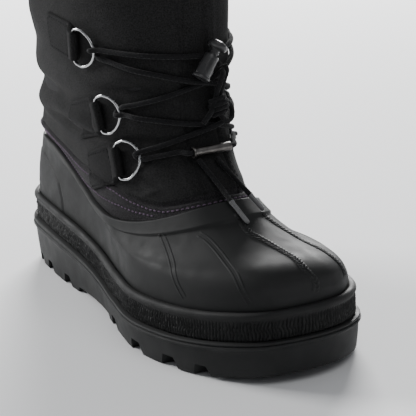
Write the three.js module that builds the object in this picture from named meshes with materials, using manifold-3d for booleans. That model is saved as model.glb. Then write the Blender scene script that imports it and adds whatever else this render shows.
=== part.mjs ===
// A right snow boot: lugged rubber sole, hollow rubber shell, hollow cloth shaft, lace and hardware.
// Millimetres. +X points to the toe, +Z is up, and -Y is the lateral (outer) side of a right foot.
// The origin is on the ground under the middle of the boot's box.
import * as THREE from 'three';
import { mergeVertices } from 'three/addons/utils/BufferGeometryUtils.js';
import Module from 'manifold-3d';

const wasm = await Module();
wasm.setup();

// ---------------------------------------------------------------- driving sizes
const LENGTH = 312; // outsole, heel to toe
const BALL_WIDTH = 117; // outsole at the ball
const TOE_SHIFT = 5; // the toe's end leans this far to the medial side
const HEEL_SOLE = 31.4; // height of the outsole's top edge at the heel
const TOE_DROP = 5; // how much lower that edge is at the toe
const EDGE_SAG = 8.2; // how far it dips below the line between heel and toe
const TOE_SPRING = 7; // lift of the tread's end at the toe
const TOE_SPRING_START = 0.78; // share of the length where that lift starts
const FOXING_HEIGHT = 15.8; // band between the sole's edge and the shell
const SHELL_INSET = 6.4; // shell's face behind the sole's edge
const SHELL_WALL = 2.6; // moulded rubber
const SHAFT_WALL = 3; // cloth with its padded lining
const INSOLE_THICKNESS = 5;
const GAP = 0.3; // between pieces that meet
const LUG_DEPTH = 7; // height of the tread blocks
const ARCH_LIFT = 4; // the waist's edge stands this far off the ground
const STATIONS = 24; // sections from heel to toe on each side

// Half widths of the sole about its middle line, as shares of half the ball width.
const SOLE_OUTLINE = [
  { along: 0.03, lateral: 0.427, medial: 0.43 },
  { along: 0.08, lateral: 0.614, medial: 0.62 },
  { along: 0.16, lateral: 0.696, medial: 0.695 },
  { along: 0.27, lateral: 0.745, medial: 0.69 },
  { along: 0.38, lateral: 0.759, medial: 0.65 },
  { along: 0.48, lateral: 0.815, medial: 0.69 },
  { along: 0.58, lateral: 0.927, medial: 0.82 },
  { along: 0.68, lateral: 1.02, medial: 0.963 },
  { along: 0.78, lateral: 0.975, medial: 0.981 },
  { along: 0.87, lateral: 0.848, medial: 0.877 },
  { along: 0.94, lateral: 0.653, medial: 0.668 },
  { along: 0.985, lateral: 0.4, medial: 0.36 },
];

// Sections of the upper from its seat on the sole to the collar. front and back: how far each end
// stands in from the seat's ends. frontRise and backRise: heights over the sole's edge at the toe
// and the heel. lateral and medial: widths as shares of the seat's. sag: how much further than
// the sole's edge the sides dip. shift: how far the front stands to the medial side of the toe's
// middle line. round: 0 for the sole's outline, 1 for an oval.
const UPPER_SECTIONS = [
  // seat
  { front: 0, frontRise: GAP, back: 0, backRise: GAP, lateral: 1, medial: 1, sag: 0, shift: 0, round: 0 },
  // feather
  { front: 0, frontRise: 15.8, back: 0, backRise: 15.8, lateral: 1, medial: 1, sag: 0, shift: 0, round: 0 },
  {
    front: 0.5, frontRise: 23, back: 0.5, backRise: 23,
    lateral: 0.998, medial: 0.995, sag: 0.4, shift: 0, round: 0,
  },
  {
    front: 3, frontRise: 30, back: 1, backRise: 30,
    lateral: 0.98, medial: 0.94, sag: 1, shift: -1, round: 0,
  },
  {
    front: 12, frontRise: 35.5, back: 1.5, backRise: 36.5,
    lateral: 0.945, medial: 0.87, sag: 2.5, shift: -3, round: 0,
  },
  {
    front: 31, frontRise: 40, back: 2.5, backRise: 42,
    lateral: 0.9, medial: 0.79, sag: 4.5, shift: -5, round: 0,
  },
  {
    front: 51, frontRise: 47.5, back: 4, backRise: 48,
    lateral: 0.86, medial: 0.74, sag: 7, shift: -6.5, round: 0.1,
  },
  // rim
  {
    front: 67, frontRise: 57.5, back: 5.6, backRise: 53,
    lateral: 0.83, medial: 0.7, sag: 9.5, shift: -8, round: 0.25,
  },
  {
    front: 81, frontRise: 68, back: 9.5, backRise: 62,
    lateral: 0.81, medial: 0.69, sag: 6, shift: -8, round: 0.5,
  },
  {
    front: 92, frontRise: 79, back: 13, backRise: 73,
    lateral: 0.81, medial: 0.7, sag: 1, shift: -7, round: 0.7,
  },
  {
    front: 98, frontRise: 92, back: 17, backRise: 85,
    lateral: 0.825, medial: 0.7, sag: -4, shift: -6, round: 0.85,
  },
  {
    front: 101, frontRise: 109, back: 21, backRise: 101,
    lateral: 0.855, medial: 0.73, sag: -7, shift: -5, round: 0.95,
  },
  {
    front: 102, frontRise: 129, back: 25, backRise: 120,
    lateral: 0.89, medial: 0.78, sag: -8.2, shift: -4, round: 1,
  },
  {
    front: 103, frontRise: 154, back: 28, backRise: 145,
    lateral: 0.925, medial: 0.85, sag: -8.2, shift: -3, round: 1,
  },
  {
    front: 104, frontRise: 190, back: 30, backRise: 182,
    lateral: 0.95, medial: 0.92, sag: -8.2, shift: -2, round: 1,
  },
  // collar
  {
    front: 105, frontRise: 230, back: 30.5, backRise: 223,
    lateral: 0.97, medial: 0.96, sag: -8.2, shift: -1, round: 1,
  },
];
const RIM = 7; // the shell's top edge
const COLLAR = UPPER_SECTIONS.length - 1;
const SHAFT_FOOT = 5.6; // the cloth's lower edge, tucked inside the shell
const OVAL_POWER = 2.3;

// The D-rings, from the top down: the bar's middle along the boot on each side and over the
// ground, and how far its top leans back.
const D_RINGS = [
  { name: 'upper', lateral: -9.5, medial: -9, z: 163, lean: -0.14 },
  { name: 'middle', lateral: 6, medial: -2, z: 124, lean: 0.25 },
  { name: 'lower', lateral: 21, medial: 8, z: 99, lean: 0.38 },
];
const SIDES = [{ name: 'lateral', side: -1 }, { name: 'medial', side: 1 }];
const WIRE_RADIUS = 0.9;
const RING_REACH = 17.5; // from the bar to the top of the arc
const RING_HALF = 11.5; // half the ring's height
const BAR_HALF = 9; // half the straight bar
const RING_TILT = -0.12; // the arc leans in, towards the cloth that curves away
const BAR_OUTSET = 3.5; // the bar's middle off the cloth
const TAB_LENGTH = 36;
const TAB_HALF = 11.5;
const TAB_OUTSET = 0.5; // under the tab
const TAB_THICKNESS = 1.7;
const SLEEVE_RADIUS = 2.6; // the tab's fold round the bar
const SLEEVE_HALF = 8.4;

const LACE_RADIUS = 1.5;
const LACE_OUTSET = 2.7; // a strand's middle off the cloth
const STRAND_START = 20.9; // strands end clear of the rings, this far in front of the bar
const STRAND_SPREAD = 2.3; // half the distance between the two strands at a ring

// Sleeve on the lowest strand: its ends, across the front of the shaft.
const TUBE = {
  x: 59.4, z: 107.6, from: -13.4, to: 10.6, radius: 2.5, bore: 1.9, flare: 3.2, flareLength: 1.6,
};

// Cord lock: the top of its button and the way it points, and heights down from that top.
const LOCK_TOP = new THREE.Vector3(54, 10.6, 166);
const LOCK_AXIS = new THREE.Vector3(-0.06, 0.613, 0.788).normalize();
const LOCK = {
  buttonFoot: 5, barrelTop: 9, holeTop: 10.8, holeFoot: 17, stemFoot: 18.5, barrelFoot: 23.5,
};
const LOCK_TRAVEL = 3; // how far the button goes in
const STEM_RADIUS = 2.9;
const BARREL_BORE = 3.2;
const HOLE_WIDTH = 3.6; // the lace's way through, between its two strands' edges

// Where the two highest strands end beside the cord lock.
const TOP_STRANDS = [
  { name: 'lateral', side: -1, end: [50.2, 0.2, 158.4] },
  { name: 'medial', side: 1, end: [46.6, 15.6, 159.6] },
];

// The lace's free stretches, each a hand-laid line from where it starts.
const FREE_LACE = [
  {
    name: 'lace_tail_left',
    steps: 4,
    points: [[55.6, 9.6, 150.8], [55.6, 10.6, 148.4], [54.4, 9.4, 143.4], [54.2, 6.8, 137.9]],
  },
  {
    name: 'lace_tail_right',
    steps: 4,
    points: [[52.8, 13.4, 152.2], [52.6, 14.6, 149], [51.4, 13.2, 143.2], [52.2, 10.4, 137.6]],
  },
  {
    name: 'lace_loop',
    steps: 6,
    points: [
      [51.8, 12, 132.6], [51, 15.2, 130.6], [50.6, 17.6, 126],
      [52.8, 16, 122], [55.4, 11.4, 120.8], [55.8, 7.8, 124.6],
    ],
  },
  {
    name: 'lace_end_near',
    steps: 6,
    points: [[60.6, -10.4, 103.4], [63.2, -9.4, 100.6], [68.4, -7.4, 95.6], [76.8, -6, 90], [87.6, -6, 84.6]],
  },
  {
    name: 'lace_end_far',
    steps: 6,
    points: [[61.8, 0.4, 103.2], [63.8, 1.4, 100.4], [68.2, 4.2, 95.4], [75.4, 6.4, 90], [84.2, 8.2, 84.8]],
  },
];
const AGLET_RADIUS = 1.3;
const AGLETS = [
  { name: 'aglet_near', from: [88, -5.9, 84.2], to: [99.6, -2.6, 74.6] },
  { name: 'aglet_far', from: [84.6, 8.4, 84.4], to: [92, 11.4, 77.6] },
];
const KNOT = {
  middle: [53.6, 6.6, 132],
  size: [9, 9.6, 10.4],
  tip: [[55.4, 3, 129.4], [57.2, -0.6, 126.2], [57, -4.4, 122.4]],
};

const WIRE_SIDES = 6;
const LOCK_TURN = 0.5; // the lace's way through turns outward from straight across by this angle

// ---------------------------------------------------------------- small helpers
const clamp01 = (t) => Math.min(1, Math.max(0, t));
const mix = (a, b, t) => a + (b - a) * t;
const smooth = (t) => clamp01(t) ** 2 * (3 - 2 * clamp01(t));

// Smooth value of one column of a table whose rows sit at the given places.
function valueAt(places, values, at) {
  const last = places.length - 1;
  const x = Math.min(places[last], Math.max(places[0], at));
  let i = 0;
  while (i < last - 1 && x > places[i + 1]) i += 1;
  const span = places[i + 1] - places[i];
  const slope = (k) => {
    const a = Math.max(0, k - 1);
    const b = Math.min(last, k + 1);
    return (values[b] - values[a]) / (places[b] - places[a]);
  };
  const t = (x - places[i]) / span;
  const h = t * t * (3 - 2 * t);
  const rise = t * (1 - t) * (1 - t) * slope(i) * span;
  const fall = t * t * (t - 1) * slope(i + 1) * span;
  return mix(values[i], values[i + 1], h) + rise + fall;
}

// ---------------------------------------------------------------- the sole's outline
// A station is a side (-1 lateral, 1 medial) and an angle, 0 at the heel and PI at the toe.
const outlineAngles = SOLE_OUTLINE.map((row) => Math.acos(1 - 2 * row.along));
const fullness = (side) => SOLE_OUTLINE.map((row, i) => {
  const width = side < 0 ? row.lateral : row.medial;
  return width / Math.sin(outlineAngles[i]);
});
const lateralFullness = fullness(-1);
const medialFullness = fullness(1);

function middleLine(along) {
  return TOE_SHIFT * Math.max(0, 2 * along - 1) ** 2;
}

function rawOutline(side, angle) {
  const along = (1 - Math.cos(angle)) / 2;
  const full = valueAt(outlineAngles, side < 0 ? lateralFullness : medialFullness, angle);
  const half = (BALL_WIDTH / 2) * full * Math.sin(angle);
  return new THREE.Vector2((along - 0.5) * LENGTH, middleLine(along) + side * half);
}

// The outline moved inward by inset, along its own normal.
function outlinePoint(side, angle, inset) {
  const step = 0.02;
  const before = rawOutline(angle - step < 0 ? -side : side, Math.abs(angle - step));
  const over = angle + step > Math.PI;
  const after = rawOutline(over ? -side : side, over ? 2 * Math.PI - angle - step : angle + step);
  const along = after.sub(before).normalize();
  const inward = new THREE.Vector2(along.y, -along.x).multiplyScalar(side);
  return rawOutline(side, angle).addScaledVector(inward, inset);
}

const stations = [];
for (let i = 0; i <= STATIONS; i += 1) stations.push({ side: -1, angle: (Math.PI * i) / STATIONS });
for (let i = STATIONS - 1; i > 0; i -= 1) stations.push({ side: 1, angle: (Math.PI * i) / STATIONS });

const outlineSides = stations.map(({ side, angle }) => rawOutline(side, angle).y);
const CENTRE_Y = (Math.min(...outlineSides) + Math.max(...outlineSides)) / 2;

// How far the sole's edge dips between heel and toe, from 0 to 1.
function dip(along) {
  return smooth((along - 0.2) / 0.36) * (1 - clamp01((along - 0.7) / 0.3) ** 2);
}

function soleEdgeHeight(x) {
  const along = clamp01(x / LENGTH + 0.5);
  return HEEL_SOLE - TOE_DROP * along - EDGE_SAG * dip(along);
}

function treadHeight(x) {
  return TOE_SPRING * clamp01((x / LENGTH + 0.5 - TOE_SPRING_START) / (1 - TOE_SPRING_START)) ** 2;
}

// One ring round the sole's outline, at a height over the sole's edge.
function edgeRing(inset, height) {
  return stations.map(({ side, angle }) => {
    const p = outlinePoint(side, angle, inset);
    return new THREE.Vector3(p.x, p.y - CENTRE_Y, soleEdgeHeight(p.x) + height);
  });
}

// ---------------------------------------------------------------- the upper's form
const seatBack = outlinePoint(-1, 0, SHELL_INSET).x;
const seatFront = outlinePoint(-1, Math.PI, SHELL_INSET).x;
const sectionIndex = UPPER_SECTIONS.map((_, i) => i);
const sectionColumns = Object.fromEntries(
  Object.keys(UPPER_SECTIONS[0]).map((name) => [name, UPPER_SECTIONS.map((row) => row[name])]),
);

function section(level) {
  const row = {};
  for (const name of Object.keys(sectionColumns)) {
    row[name] = valueAt(sectionIndex, sectionColumns[name], level);
  }
  return row;
}

// A point of the upper's outer face, without any offset.
function bareForm(side, angle, level) {
  const wrapped = angle < 0 || angle > Math.PI;
  const s = wrapped ? -side : side;
  const a = angle < 0 ? -angle : Math.min(angle, 2 * Math.PI - angle);
  const row = section(level);
  const seat = outlinePoint(s, a, SHELL_INSET);
  const along = clamp01((seat.x - seatBack) / (seatFront - seatBack));
  const middle = middleLine(along) + row.shift * along ** 2;
  const share = s < 0 ? row.lateral : row.medial;
  const footHalf = Math.abs(seat.y - middleLine(along)) * share;
  const oval = (1 - Math.abs(2 * along - 1) ** OVAL_POWER) ** (1 / OVAL_POWER);
  const half = mix(footHalf, (BALL_WIDTH / 2 - SHELL_INSET) * share * oval, row.round);
  const start = seatBack + row.back;
  const end = seatFront - row.front;
  const rise = mix(row.backRise, row.frontRise, along);
  return new THREE.Vector3(
    mix(start, end, along),
    middle + s * half - CENTRE_Y,
    soleEdgeHeight(seat.x) + rise - row.sag * dip(along),
  );
}

// Outward normal of the form.
function formNormal(side, angle, level) {
  const around = bareForm(side, angle + 0.03, level).sub(bareForm(side, angle - 0.03, level));
  const low = Math.max(0, level - 0.05);
  const high = Math.min(COLLAR, level + 0.05);
  const up = bareForm(side, angle, high).sub(bareForm(side, angle, low));
  return around.cross(up).multiplyScalar(-side).normalize();
}

function formPoint(side, angle, level, outset) {
  return bareForm(side, angle, level).addScaledVector(formNormal(side, angle, level), outset);
}

function formRing(level, outset) {
  return stations.map(({ side, angle }) => formPoint(side, angle, level, outset(angle, level)));
}

// ---------------------------------------------------------------- closed bodies
function bodyFrom(points, triangles) {
  let volume = 0;
  for (const [a, b, c] of triangles) {
    volume += points[a].dot(new THREE.Vector3().crossVectors(points[b], points[c]));
  }
  const geometry = new THREE.BufferGeometry();
  geometry.setAttribute('position', new THREE.Float32BufferAttribute(points.flatMap((p) => p.toArray()), 3));
  geometry.setIndex(triangles.flatMap(([a, b, c]) => (volume < 0 ? [a, c, b] : [a, b, c])));
  return geometry;
}

function bandTriangles(rings, closed) {
  const count = rings[0].length;
  const triangles = [];
  const bands = closed ? rings.length : rings.length - 1;
  for (let r = 0; r < bands; r += 1) {
    const low = r * count;
    const high = ((r + 1) % rings.length) * count;
    for (let i = 0; i < count; i += 1) {
      const j = (i + 1) % count;
      triangles.push([low + i, low + j, high + j], [low + i, high + j, high + i]);
    }
  }
  return triangles;
}

// Rings joined one to the next and the last to the first: a hollow band, open above and below.
function hollowBody(rings) {
  return bodyFrom(rings.flat(), bandTriangles(rings, true));
}

// Rings stacked and closed at both ends by strips across from side to side.
function solidBody(rings) {
  const count = rings[0].length;
  const triangles = bandTriangles(rings, false);
  const half = count / 2;
  for (const [start, flip] of [[0, true], [(rings.length - 1) * count, false]]) {
    const cap = (a, b, c) => {
      triangles.push(flip ? [start + a, start + c, start + b] : [start + a, start + b, start + c]);
    };
    for (let i = 0; i < half; i += 1) {
      const left = i === 0 ? 0 : count - i;
      const nextLeft = count - i - 1;
      if (i > 0) cap(i, i + 1, left);
      if (i + 1 < half) cap(i + 1, nextLeft, left);
    }
  }
  return bodyFrom(rings.flat(), triangles);
}

function toSolid(geometry) {
  const bare = new THREE.BufferGeometry();
  bare.setAttribute('position', geometry.getAttribute('position').clone());
  if (geometry.index) bare.setIndex(geometry.index.clone());
  const merged = mergeVertices(bare, 1e-4);
  return new wasm.Manifold(new wasm.Mesh({
    numProp: 3,
    vertProperties: new Float32Array(merged.getAttribute('position').array),
    triVerts: new Uint32Array(merged.index.array),
  }));
}

function fromSolid(solid) {
  const mesh = solid.getMesh();
  const geometry = new THREE.BufferGeometry();
  geometry.setAttribute('position', new THREE.BufferAttribute(new Float32Array(mesh.vertProperties), 3));
  geometry.setIndex(Array.from(mesh.triVerts));
  return geometry;
}

const boot = new THREE.Group();

function addPiece(name, geometry, material) {
  const mesh = new THREE.Mesh(geometry, material);
  mesh.name = name;
  boot.add(mesh);
  return mesh;
}

// ---------------------------------------------------------------- materials
const soleRubber = new THREE.MeshStandardMaterial({ color: 0x2b2c2b, roughness: 0.6 });
const shellRubber = new THREE.MeshStandardMaterial({ color: 0x333534, roughness: 0.5 });
const foxingRubber = new THREE.MeshStandardMaterial({ color: 0x262726, roughness: 0.75 });
const cloth = new THREE.MeshStandardMaterial({ color: 0x1d1d20, roughness: 0.9 });
const tabCloth = new THREE.MeshStandardMaterial({ color: 0x18181a, roughness: 0.85 });
const cord = new THREE.MeshStandardMaterial({ color: 0x161617, roughness: 0.8 });
const steel = new THREE.MeshStandardMaterial({ color: 0xc4c6c8, roughness: 0.25, metalness: 1 });
const gunmetal = new THREE.MeshStandardMaterial({ color: 0x7a736c, roughness: 0.35, metalness: 1 });
const lockPlastic = new THREE.MeshStandardMaterial({ color: 0x3c3c3d, roughness: 0.4 });
const felt = new THREE.MeshStandardMaterial({ color: 0x3a3a3c, roughness: 1 });

// ---------------------------------------------------------------- outsole
// Wall of the outsole from the tread up to its double bead: inset from the edge, and the share
// of the wall's height.
const OUTSOLE_WALL = [
  { inset: 3.2, share: 0 },
  { inset: 2.2, share: 0.35 },
  { inset: 1.4, share: 0.78 },
  { inset: 0, share: 0.86 },
  { inset: 0, share: 0.93 },
  { inset: 1.2, share: 1 },
];

// Grooves between the tread blocks: place of each V's point along the boot, its width at the
// ground, and how far its arms sweep back at the sole's edge.
const TREAD_GROOVES = [
  { x: -127, width: 11, sweep: -9 },
  { x: -105, width: 12, sweep: -6 },
  { x: -66, width: 13, sweep: 6 },
  { x: 24, width: 14, sweep: 9 },
  { x: 67, width: 15, sweep: 9 },
  { x: 98, width: 14, sweep: 9 },
  { x: 121, width: 11, sweep: 10 },
];
const ARCH = { from: -55, to: 6, depth: 9 };

function outsoleBlock() {
  const rings = OUTSOLE_WALL.map(({ inset, share }) => edgeRing(inset, 0).map((p) => {
    return new THREE.Vector3(p.x, p.y, mix(treadHeight(p.x), p.z, share));
  }));
  return toSolid(solidBody(rings));
}

// A V-shaped bar with sloping sides that cuts one groove.
function grooveCutter({ x, width, sweep }) {
  const reach = BALL_WIDTH / 2 + 8;
  const across = [-reach, 0, reach];
  const rings = across.map((y) => {
    const middle = x - (sweep * Math.abs(y)) / reach;
    const corner = (dx, z) => new THREE.Vector3(middle + dx, y, z);
    const top = LUG_DEPTH;
    return [
      corner(-width / 2 - 0.6, -2), corner(width / 2 + 0.6, -2),
      corner(width / 3.4, top), corner(-width / 3.4, top),
    ];
  });
  return toSolid(solidBody(rings));
}

function archCutter() {
  const outer = BALL_WIDTH / 2 + 8;
  const inner = 17;
  const rows = [
    { y: -outer, depth: ARCH_LIFT }, { y: -inner - 8, depth: ARCH_LIFT },
    { y: -inner, depth: ARCH.depth }, { y: inner, depth: ARCH.depth },
    { y: inner + 8, depth: ARCH_LIFT }, { y: outer, depth: ARCH_LIFT },
  ];
  const rings = rows.map(({ y, depth }) => [
    new THREE.Vector3(ARCH.from, y, -2),
    new THREE.Vector3(ARCH.to, y, -2),
    new THREE.Vector3(ARCH.to - depth, y, depth),
    new THREE.Vector3(ARCH.from + depth, y, depth),
  ]);
  return toSolid(solidBody(rings));
}

function buildOutsole() {
  let sole = outsoleBlock();
  for (const groove of TREAD_GROOVES) sole = sole.subtract(grooveCutter(groove));
  sole = sole.subtract(archCutter());
  addPiece('outsole', fromSolid(sole), soleRubber);
}

// ---------------------------------------------------------------- foxing band
// Section of the band: inset from the sole's edge and height over it. The last rows before the
// inner face are the rounded bead on its top edge.
const FOXING_SECTION = [
  { inset: 3.6, height: GAP },
  { inset: 3.6, height: 11.4 },
  { inset: 2.5, height: 12.6 },
  { inset: 2.1, height: 14.2 },
  { inset: 2.6, height: 15.8 },
  { inset: 4, height: FOXING_HEIGHT + 0.4 },
  { inset: SHELL_INSET - GAP, height: FOXING_HEIGHT },
  { inset: SHELL_INSET - GAP, height: GAP },
];

function buildFoxing() {
  const rings = FOXING_SECTION.map(({ inset, height }) => edgeRing(inset, height));
  addPiece('foxing_band', hollowBody(rings), foxingRubber);
}

// ---------------------------------------------------------------- rubber shell
const RIM_BAND_FOOT = 6.3; // level where the raised rim starts
const RIM_PROUD = 1.2;

function rimProud(angle, level) {
  const share = (1 - Math.cos(angle)) / 2;
  return level >= RIM_BAND_FOOT ? RIM_PROUD * smooth((share - 0.1) / 0.3) : 0;
}

function buildShell() {
  const outer = [0, 0.5, 1, 1.5, 2, 2.5, 3, 3.5, 4, 4.5, 5, 5.5, 6, RIM_BAND_FOOT - 0.05, RIM_BAND_FOOT, RIM];
  const inner = [RIM, 6, 5, 4, 3, 2, 1, 0];
  const rings = [
    ...outer.map((level) => formRing(level, rimProud)),
    ...inner.map((level) => formRing(level, () => -SHELL_WALL)),
  ];
  addPiece('rubber_shell', hollowBody(rings), shellRubber);
}

// ---------------------------------------------------------------- cloth shaft
// The cloth runs inside the shell, then swells out to the form above the rim.
function shaftOutset(level) {
  return mix(-SHELL_WALL - GAP - 0.1, 0, smooth((level - RIM - 0.15) / 0.9));
}

function buildShaft() {
  const outer = [SHAFT_FOOT, 6.2, RIM, 7.3, 7.7, 8.2, 9, 10, 11, 12, 13, 14, COLLAR];
  const inner = [COLLAR, 13, 11.5, 10, 9, 8.2, 7.5, RIM, SHAFT_FOOT];
  const rings = [
    ...outer.map((level) => formRing(level, (angle, at) => shaftOutset(at))),
    ...inner.map((level) => formRing(level, (angle, at) => shaftOutset(at) - SHAFT_WALL)),
  ];
  addPiece('shaft', hollowBody(rings), cloth);
}

// ---------------------------------------------------------------- insole
function buildInsole() {
  const inset = SHELL_INSET + SHELL_WALL + GAP + 0.3;
  const rings = [
    edgeRing(inset + 0.8, GAP),
    edgeRing(inset, GAP + 1),
    edgeRing(inset, GAP + INSOLE_THICKNESS - 1),
    edgeRing(inset + 0.8, GAP + INSOLE_THICKNESS),
  ];
  addPiece('insole', solidBody(rings), felt);
}

// ---------------------------------------------------------------- places on the upper
// The angle and level on one side of the form at a given x and height.
function placeOn(side, x, z) {
  const halve = (low, high, isBelow) => {
    let a = low;
    let b = high;
    for (let i = 0; i < 20; i += 1) {
      const middle = (a + b) / 2;
      if (isBelow(middle)) a = middle;
      else b = middle;
    }
    return a;
  };
  let angle = Math.PI / 2;
  let level = RIM;
  for (let pass = 0; pass < 5; pass += 1) {
    const at = angle;
    level = halve(RIM - 1, COLLAR, (l) => bareForm(side, at, l).z < z);
    const height = level;
    angle = halve(0, Math.PI, (a) => bareForm(side, a, height).x < x);
  }
  return { side, angle, level };
}

// A ring's place: the middle of its bar, and the directions forward, up and out.
function ringFrame({ lateral, medial, z, lean }, side) {
  const place = placeOn(side, side < 0 ? lateral : medial, z);
  const out = formNormal(side, place.angle, place.level);
  const forward = new THREE.Vector3(1, 0, 0).projectOnPlane(out).normalize();
  forward.applyAxisAngle(out, -side * lean);
  const up = out.clone().cross(forward).multiplyScalar(-side);
  const origin = bareForm(side, place.angle, place.level);
  const at = (f, u, o) => origin.clone()
    .addScaledVector(forward, f).addScaledVector(up, u).addScaledVector(out, o);
  return { side, place, forward, up, out, at };
}

// ---------------------------------------------------------------- D-rings and tabs
// A round wire along a closed flat line.
function wireLoop(points, flatNormal, radius) {
  const count = points.length;
  const rings = points.map((p, i) => {
    const along = points[(i + 1) % count].clone().sub(points[(i + count - 1) % count]).normalize();
    const across = along.cross(flatNormal).normalize();
    const ring = [];
    for (let k = 0; k < WIRE_SIDES; k += 1) {
      const turn = (2 * Math.PI * k) / WIRE_SIDES;
      ring.push(p.clone().addScaledVector(across, radius * Math.cos(turn))
        .addScaledVector(flatNormal, radius * Math.sin(turn)));
    }
    return ring;
  });
  return hollowBody(rings);
}

function ringLine(frame) {
  const flat = [[0, -BAR_HALF], [0, -BAR_HALF / 3], [0, BAR_HALF / 3], [0, BAR_HALF], [1.6, RING_HALF - 0.7]];
  for (let turn = 75; turn >= -75; turn -= 25) {
    const t = (turn * Math.PI) / 180;
    flat.push([1.5 + (RING_REACH - 1.5) * Math.cos(t), RING_HALF * Math.sin(t)]);
  }
  flat.push([1.6, 0.7 - RING_HALF]);
  return flat.map(([f, u]) => {
    return frame.at(f * Math.cos(RING_TILT), u, BAR_OUTSET + f * Math.sin(RING_TILT));
  });
}

function ringNormal(frame) {
  return frame.out.clone().multiplyScalar(Math.cos(RING_TILT))
    .addScaledVector(frame.forward, -Math.sin(RING_TILT));
}

// A straight round bar between two points, as a solid.
function barBetween(from, to, radius, sides) {
  const bar = new THREE.CylinderGeometry(radius, radius, from.distanceTo(to), sides);
  bar.applyQuaternion(new THREE.Quaternion().setFromUnitVectors(
    new THREE.Vector3(0, 1, 0), to.clone().sub(from).normalize(),
  ));
  const middle = from.clone().add(to).multiplyScalar(0.5);
  bar.translate(middle.x, middle.y, middle.z);
  return toSolid(bar);
}

// The cloth tab: a patch that follows the shaft, with a sleeve round the ring's bar.
function buildTab(name, frame) {
  const columns = [-TAB_LENGTH, -TAB_LENGTH * 0.66, -TAB_LENGTH * 0.33, 0];
  const rows = [-1, -0.33, 0.33, 1];
  const rings = columns.map((f) => {
    const half = mix(SLEEVE_HALF, TAB_HALF, smooth(-f / 9));
    const line = (outset) => rows.map((row) => {
      const flat = frame.at(f, row * half, 0);
      const place = placeOn(frame.side, flat.x, flat.z);
      return formPoint(frame.side, place.angle, place.level, outset);
    });
    return [...line(TAB_OUTSET), ...line(TAB_OUTSET + TAB_THICKNESS).reverse()];
  });
  const sleeveEnd = (u) => frame.at(0, u, BAR_OUTSET);
  const tab = toSolid(solidBody(rings))
    .add(barBetween(sleeveEnd(-SLEEVE_HALF), sleeveEnd(SLEEVE_HALF), SLEEVE_RADIUS, 14))
    .subtract(barBetween(sleeveEnd(-TAB_HALF * 2), sleeveEnd(TAB_HALF * 2), WIRE_RADIUS + 0.5, 10));
  addPiece(name, fromSolid(tab), tabCloth);
}

function buildRings() {
  for (const { name: sideName, side } of SIDES) {
    for (const row of D_RINGS) {
      const frame = ringFrame(row, side);
      buildTab(`tab_${sideName}_${row.name}`, frame);
      const ring = wireLoop(ringLine(frame), ringNormal(frame), WIRE_RADIUS);
      addPiece(`d_ring_${sideName}_${row.name}`, ring, steel);
    }
  }
}

// ---------------------------------------------------------------- lace
// A round cord along a smooth line through the points.
function cordAlong(points, radius, steps) {
  const sides = 7;
  const corners = [];
  for (let k = 0; k < sides; k += 1) {
    const turn = (2 * Math.PI * k) / sides;
    corners.push(new THREE.Vector2(radius * Math.cos(turn), radius * Math.sin(turn)));
  }
  return new THREE.ExtrudeGeometry(new THREE.Shape(corners), {
    steps,
    extrudePath: new THREE.CatmullRomCurve3(points, false, 'centripetal'),
  });
}

// Where a strand starts in front of a ring: spread 1 for the upper strand, -1 for the lower one.
function strandStart(rowName, side, spread) {
  const frame = ringFrame(D_RINGS.find((row) => row.name === rowName), side);
  return frame.at(STRAND_START, spread * STRAND_SPREAD, BAR_OUTSET + STRAND_START * Math.sin(RING_TILT));
}

// Points on the cloth round the front of the shaft, between two places on opposite sides.
function roundFront(start, end, shares) {
  const from = placeOn(-1, start.x, start.z);
  const to = placeOn(1, end.x, end.z);
  return shares.map((share) => {
    const turn = mix(from.angle, 2 * Math.PI - to.angle, share);
    const side = turn > Math.PI ? 1 : -1;
    const angle = turn > Math.PI ? 2 * Math.PI - turn : turn;
    return formPoint(side, angle, mix(from.level, to.level, share), LACE_OUTSET);
  });
}

function strand(start, end) {
  const onCloth = roundFront(start, end, [0.14, 0.28, 0.4, 0.5, 0.6, 0.72, 0.86]);
  return cordAlong([start, ...onCloth, end], LACE_RADIUS, 10);
}

// Two strands that cross at the front and are joined there.
function buildCrossing(name, below, above) {
  const left = strand(strandStart(below, -1, 1), strandStart(above, 1, -1));
  const right = strand(strandStart(above, -1, -1), strandStart(below, 1, 1));
  addPiece(name, fromSolid(toSolid(left).add(toSolid(right))), cord);
}

// The lowest strand runs straight through its sleeve.
function buildBase() {
  const start = strandStart('lower', -1, -1);
  const end = strandStart('lower', 1, -1);
  const [farLeft, left, right, farRight] = roundFront(start, end, [0.1, 0.22, 0.78, 0.9]);
  const inSleeve = [TUBE.from - 2, TUBE.from, TUBE.from + 2, TUBE.to - 2, TUBE.to, TUBE.to + 2]
    .map((y) => new THREE.Vector3(TUBE.x, y, TUBE.z));
  addPiece('lace_base', cordAlong([start, farLeft, left, ...inSleeve, right, farRight, end], LACE_RADIUS, 18), cord);
}

function buildTube() {
  const { x, z, from, to, radius, bore, flare, flareLength } = TUBE;
  const profile = [
    [bore, from], [flare, from], [flare, from + flareLength], [radius, from + flareLength + 0.5],
    [radius, to - 0.4], [radius - 0.3, to], [bore, to], [bore, from],
  ].map(([r, y]) => new THREE.Vector2(r, y));
  const tube = addPiece('lace_tube', new THREE.LatheGeometry(profile, 14), gunmetal);
  tube.position.set(x, 0, z);
}

// The two highest strands end just short of the cord lock.
function buildTopStrands() {
  for (const { name, side, end } of TOP_STRANDS) {
    const start = strandStart('upper', side, 1);
    const from = placeOn(side, start.x, start.z);
    const to = placeOn(side, end[0] - LACE_OUTSET, end[2]);
    const onCloth = [0.3, 0.5, 0.7, 0.85].map((share) => {
      return formPoint(side, mix(from.angle, to.angle, share), mix(from.level, to.level, share), LACE_OUTSET);
    });
    addPiece(`lace_top_${name}`, cordAlong([start, ...onCloth, new THREE.Vector3(...end)], LACE_RADIUS, 7), cord);
  }
}

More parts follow.
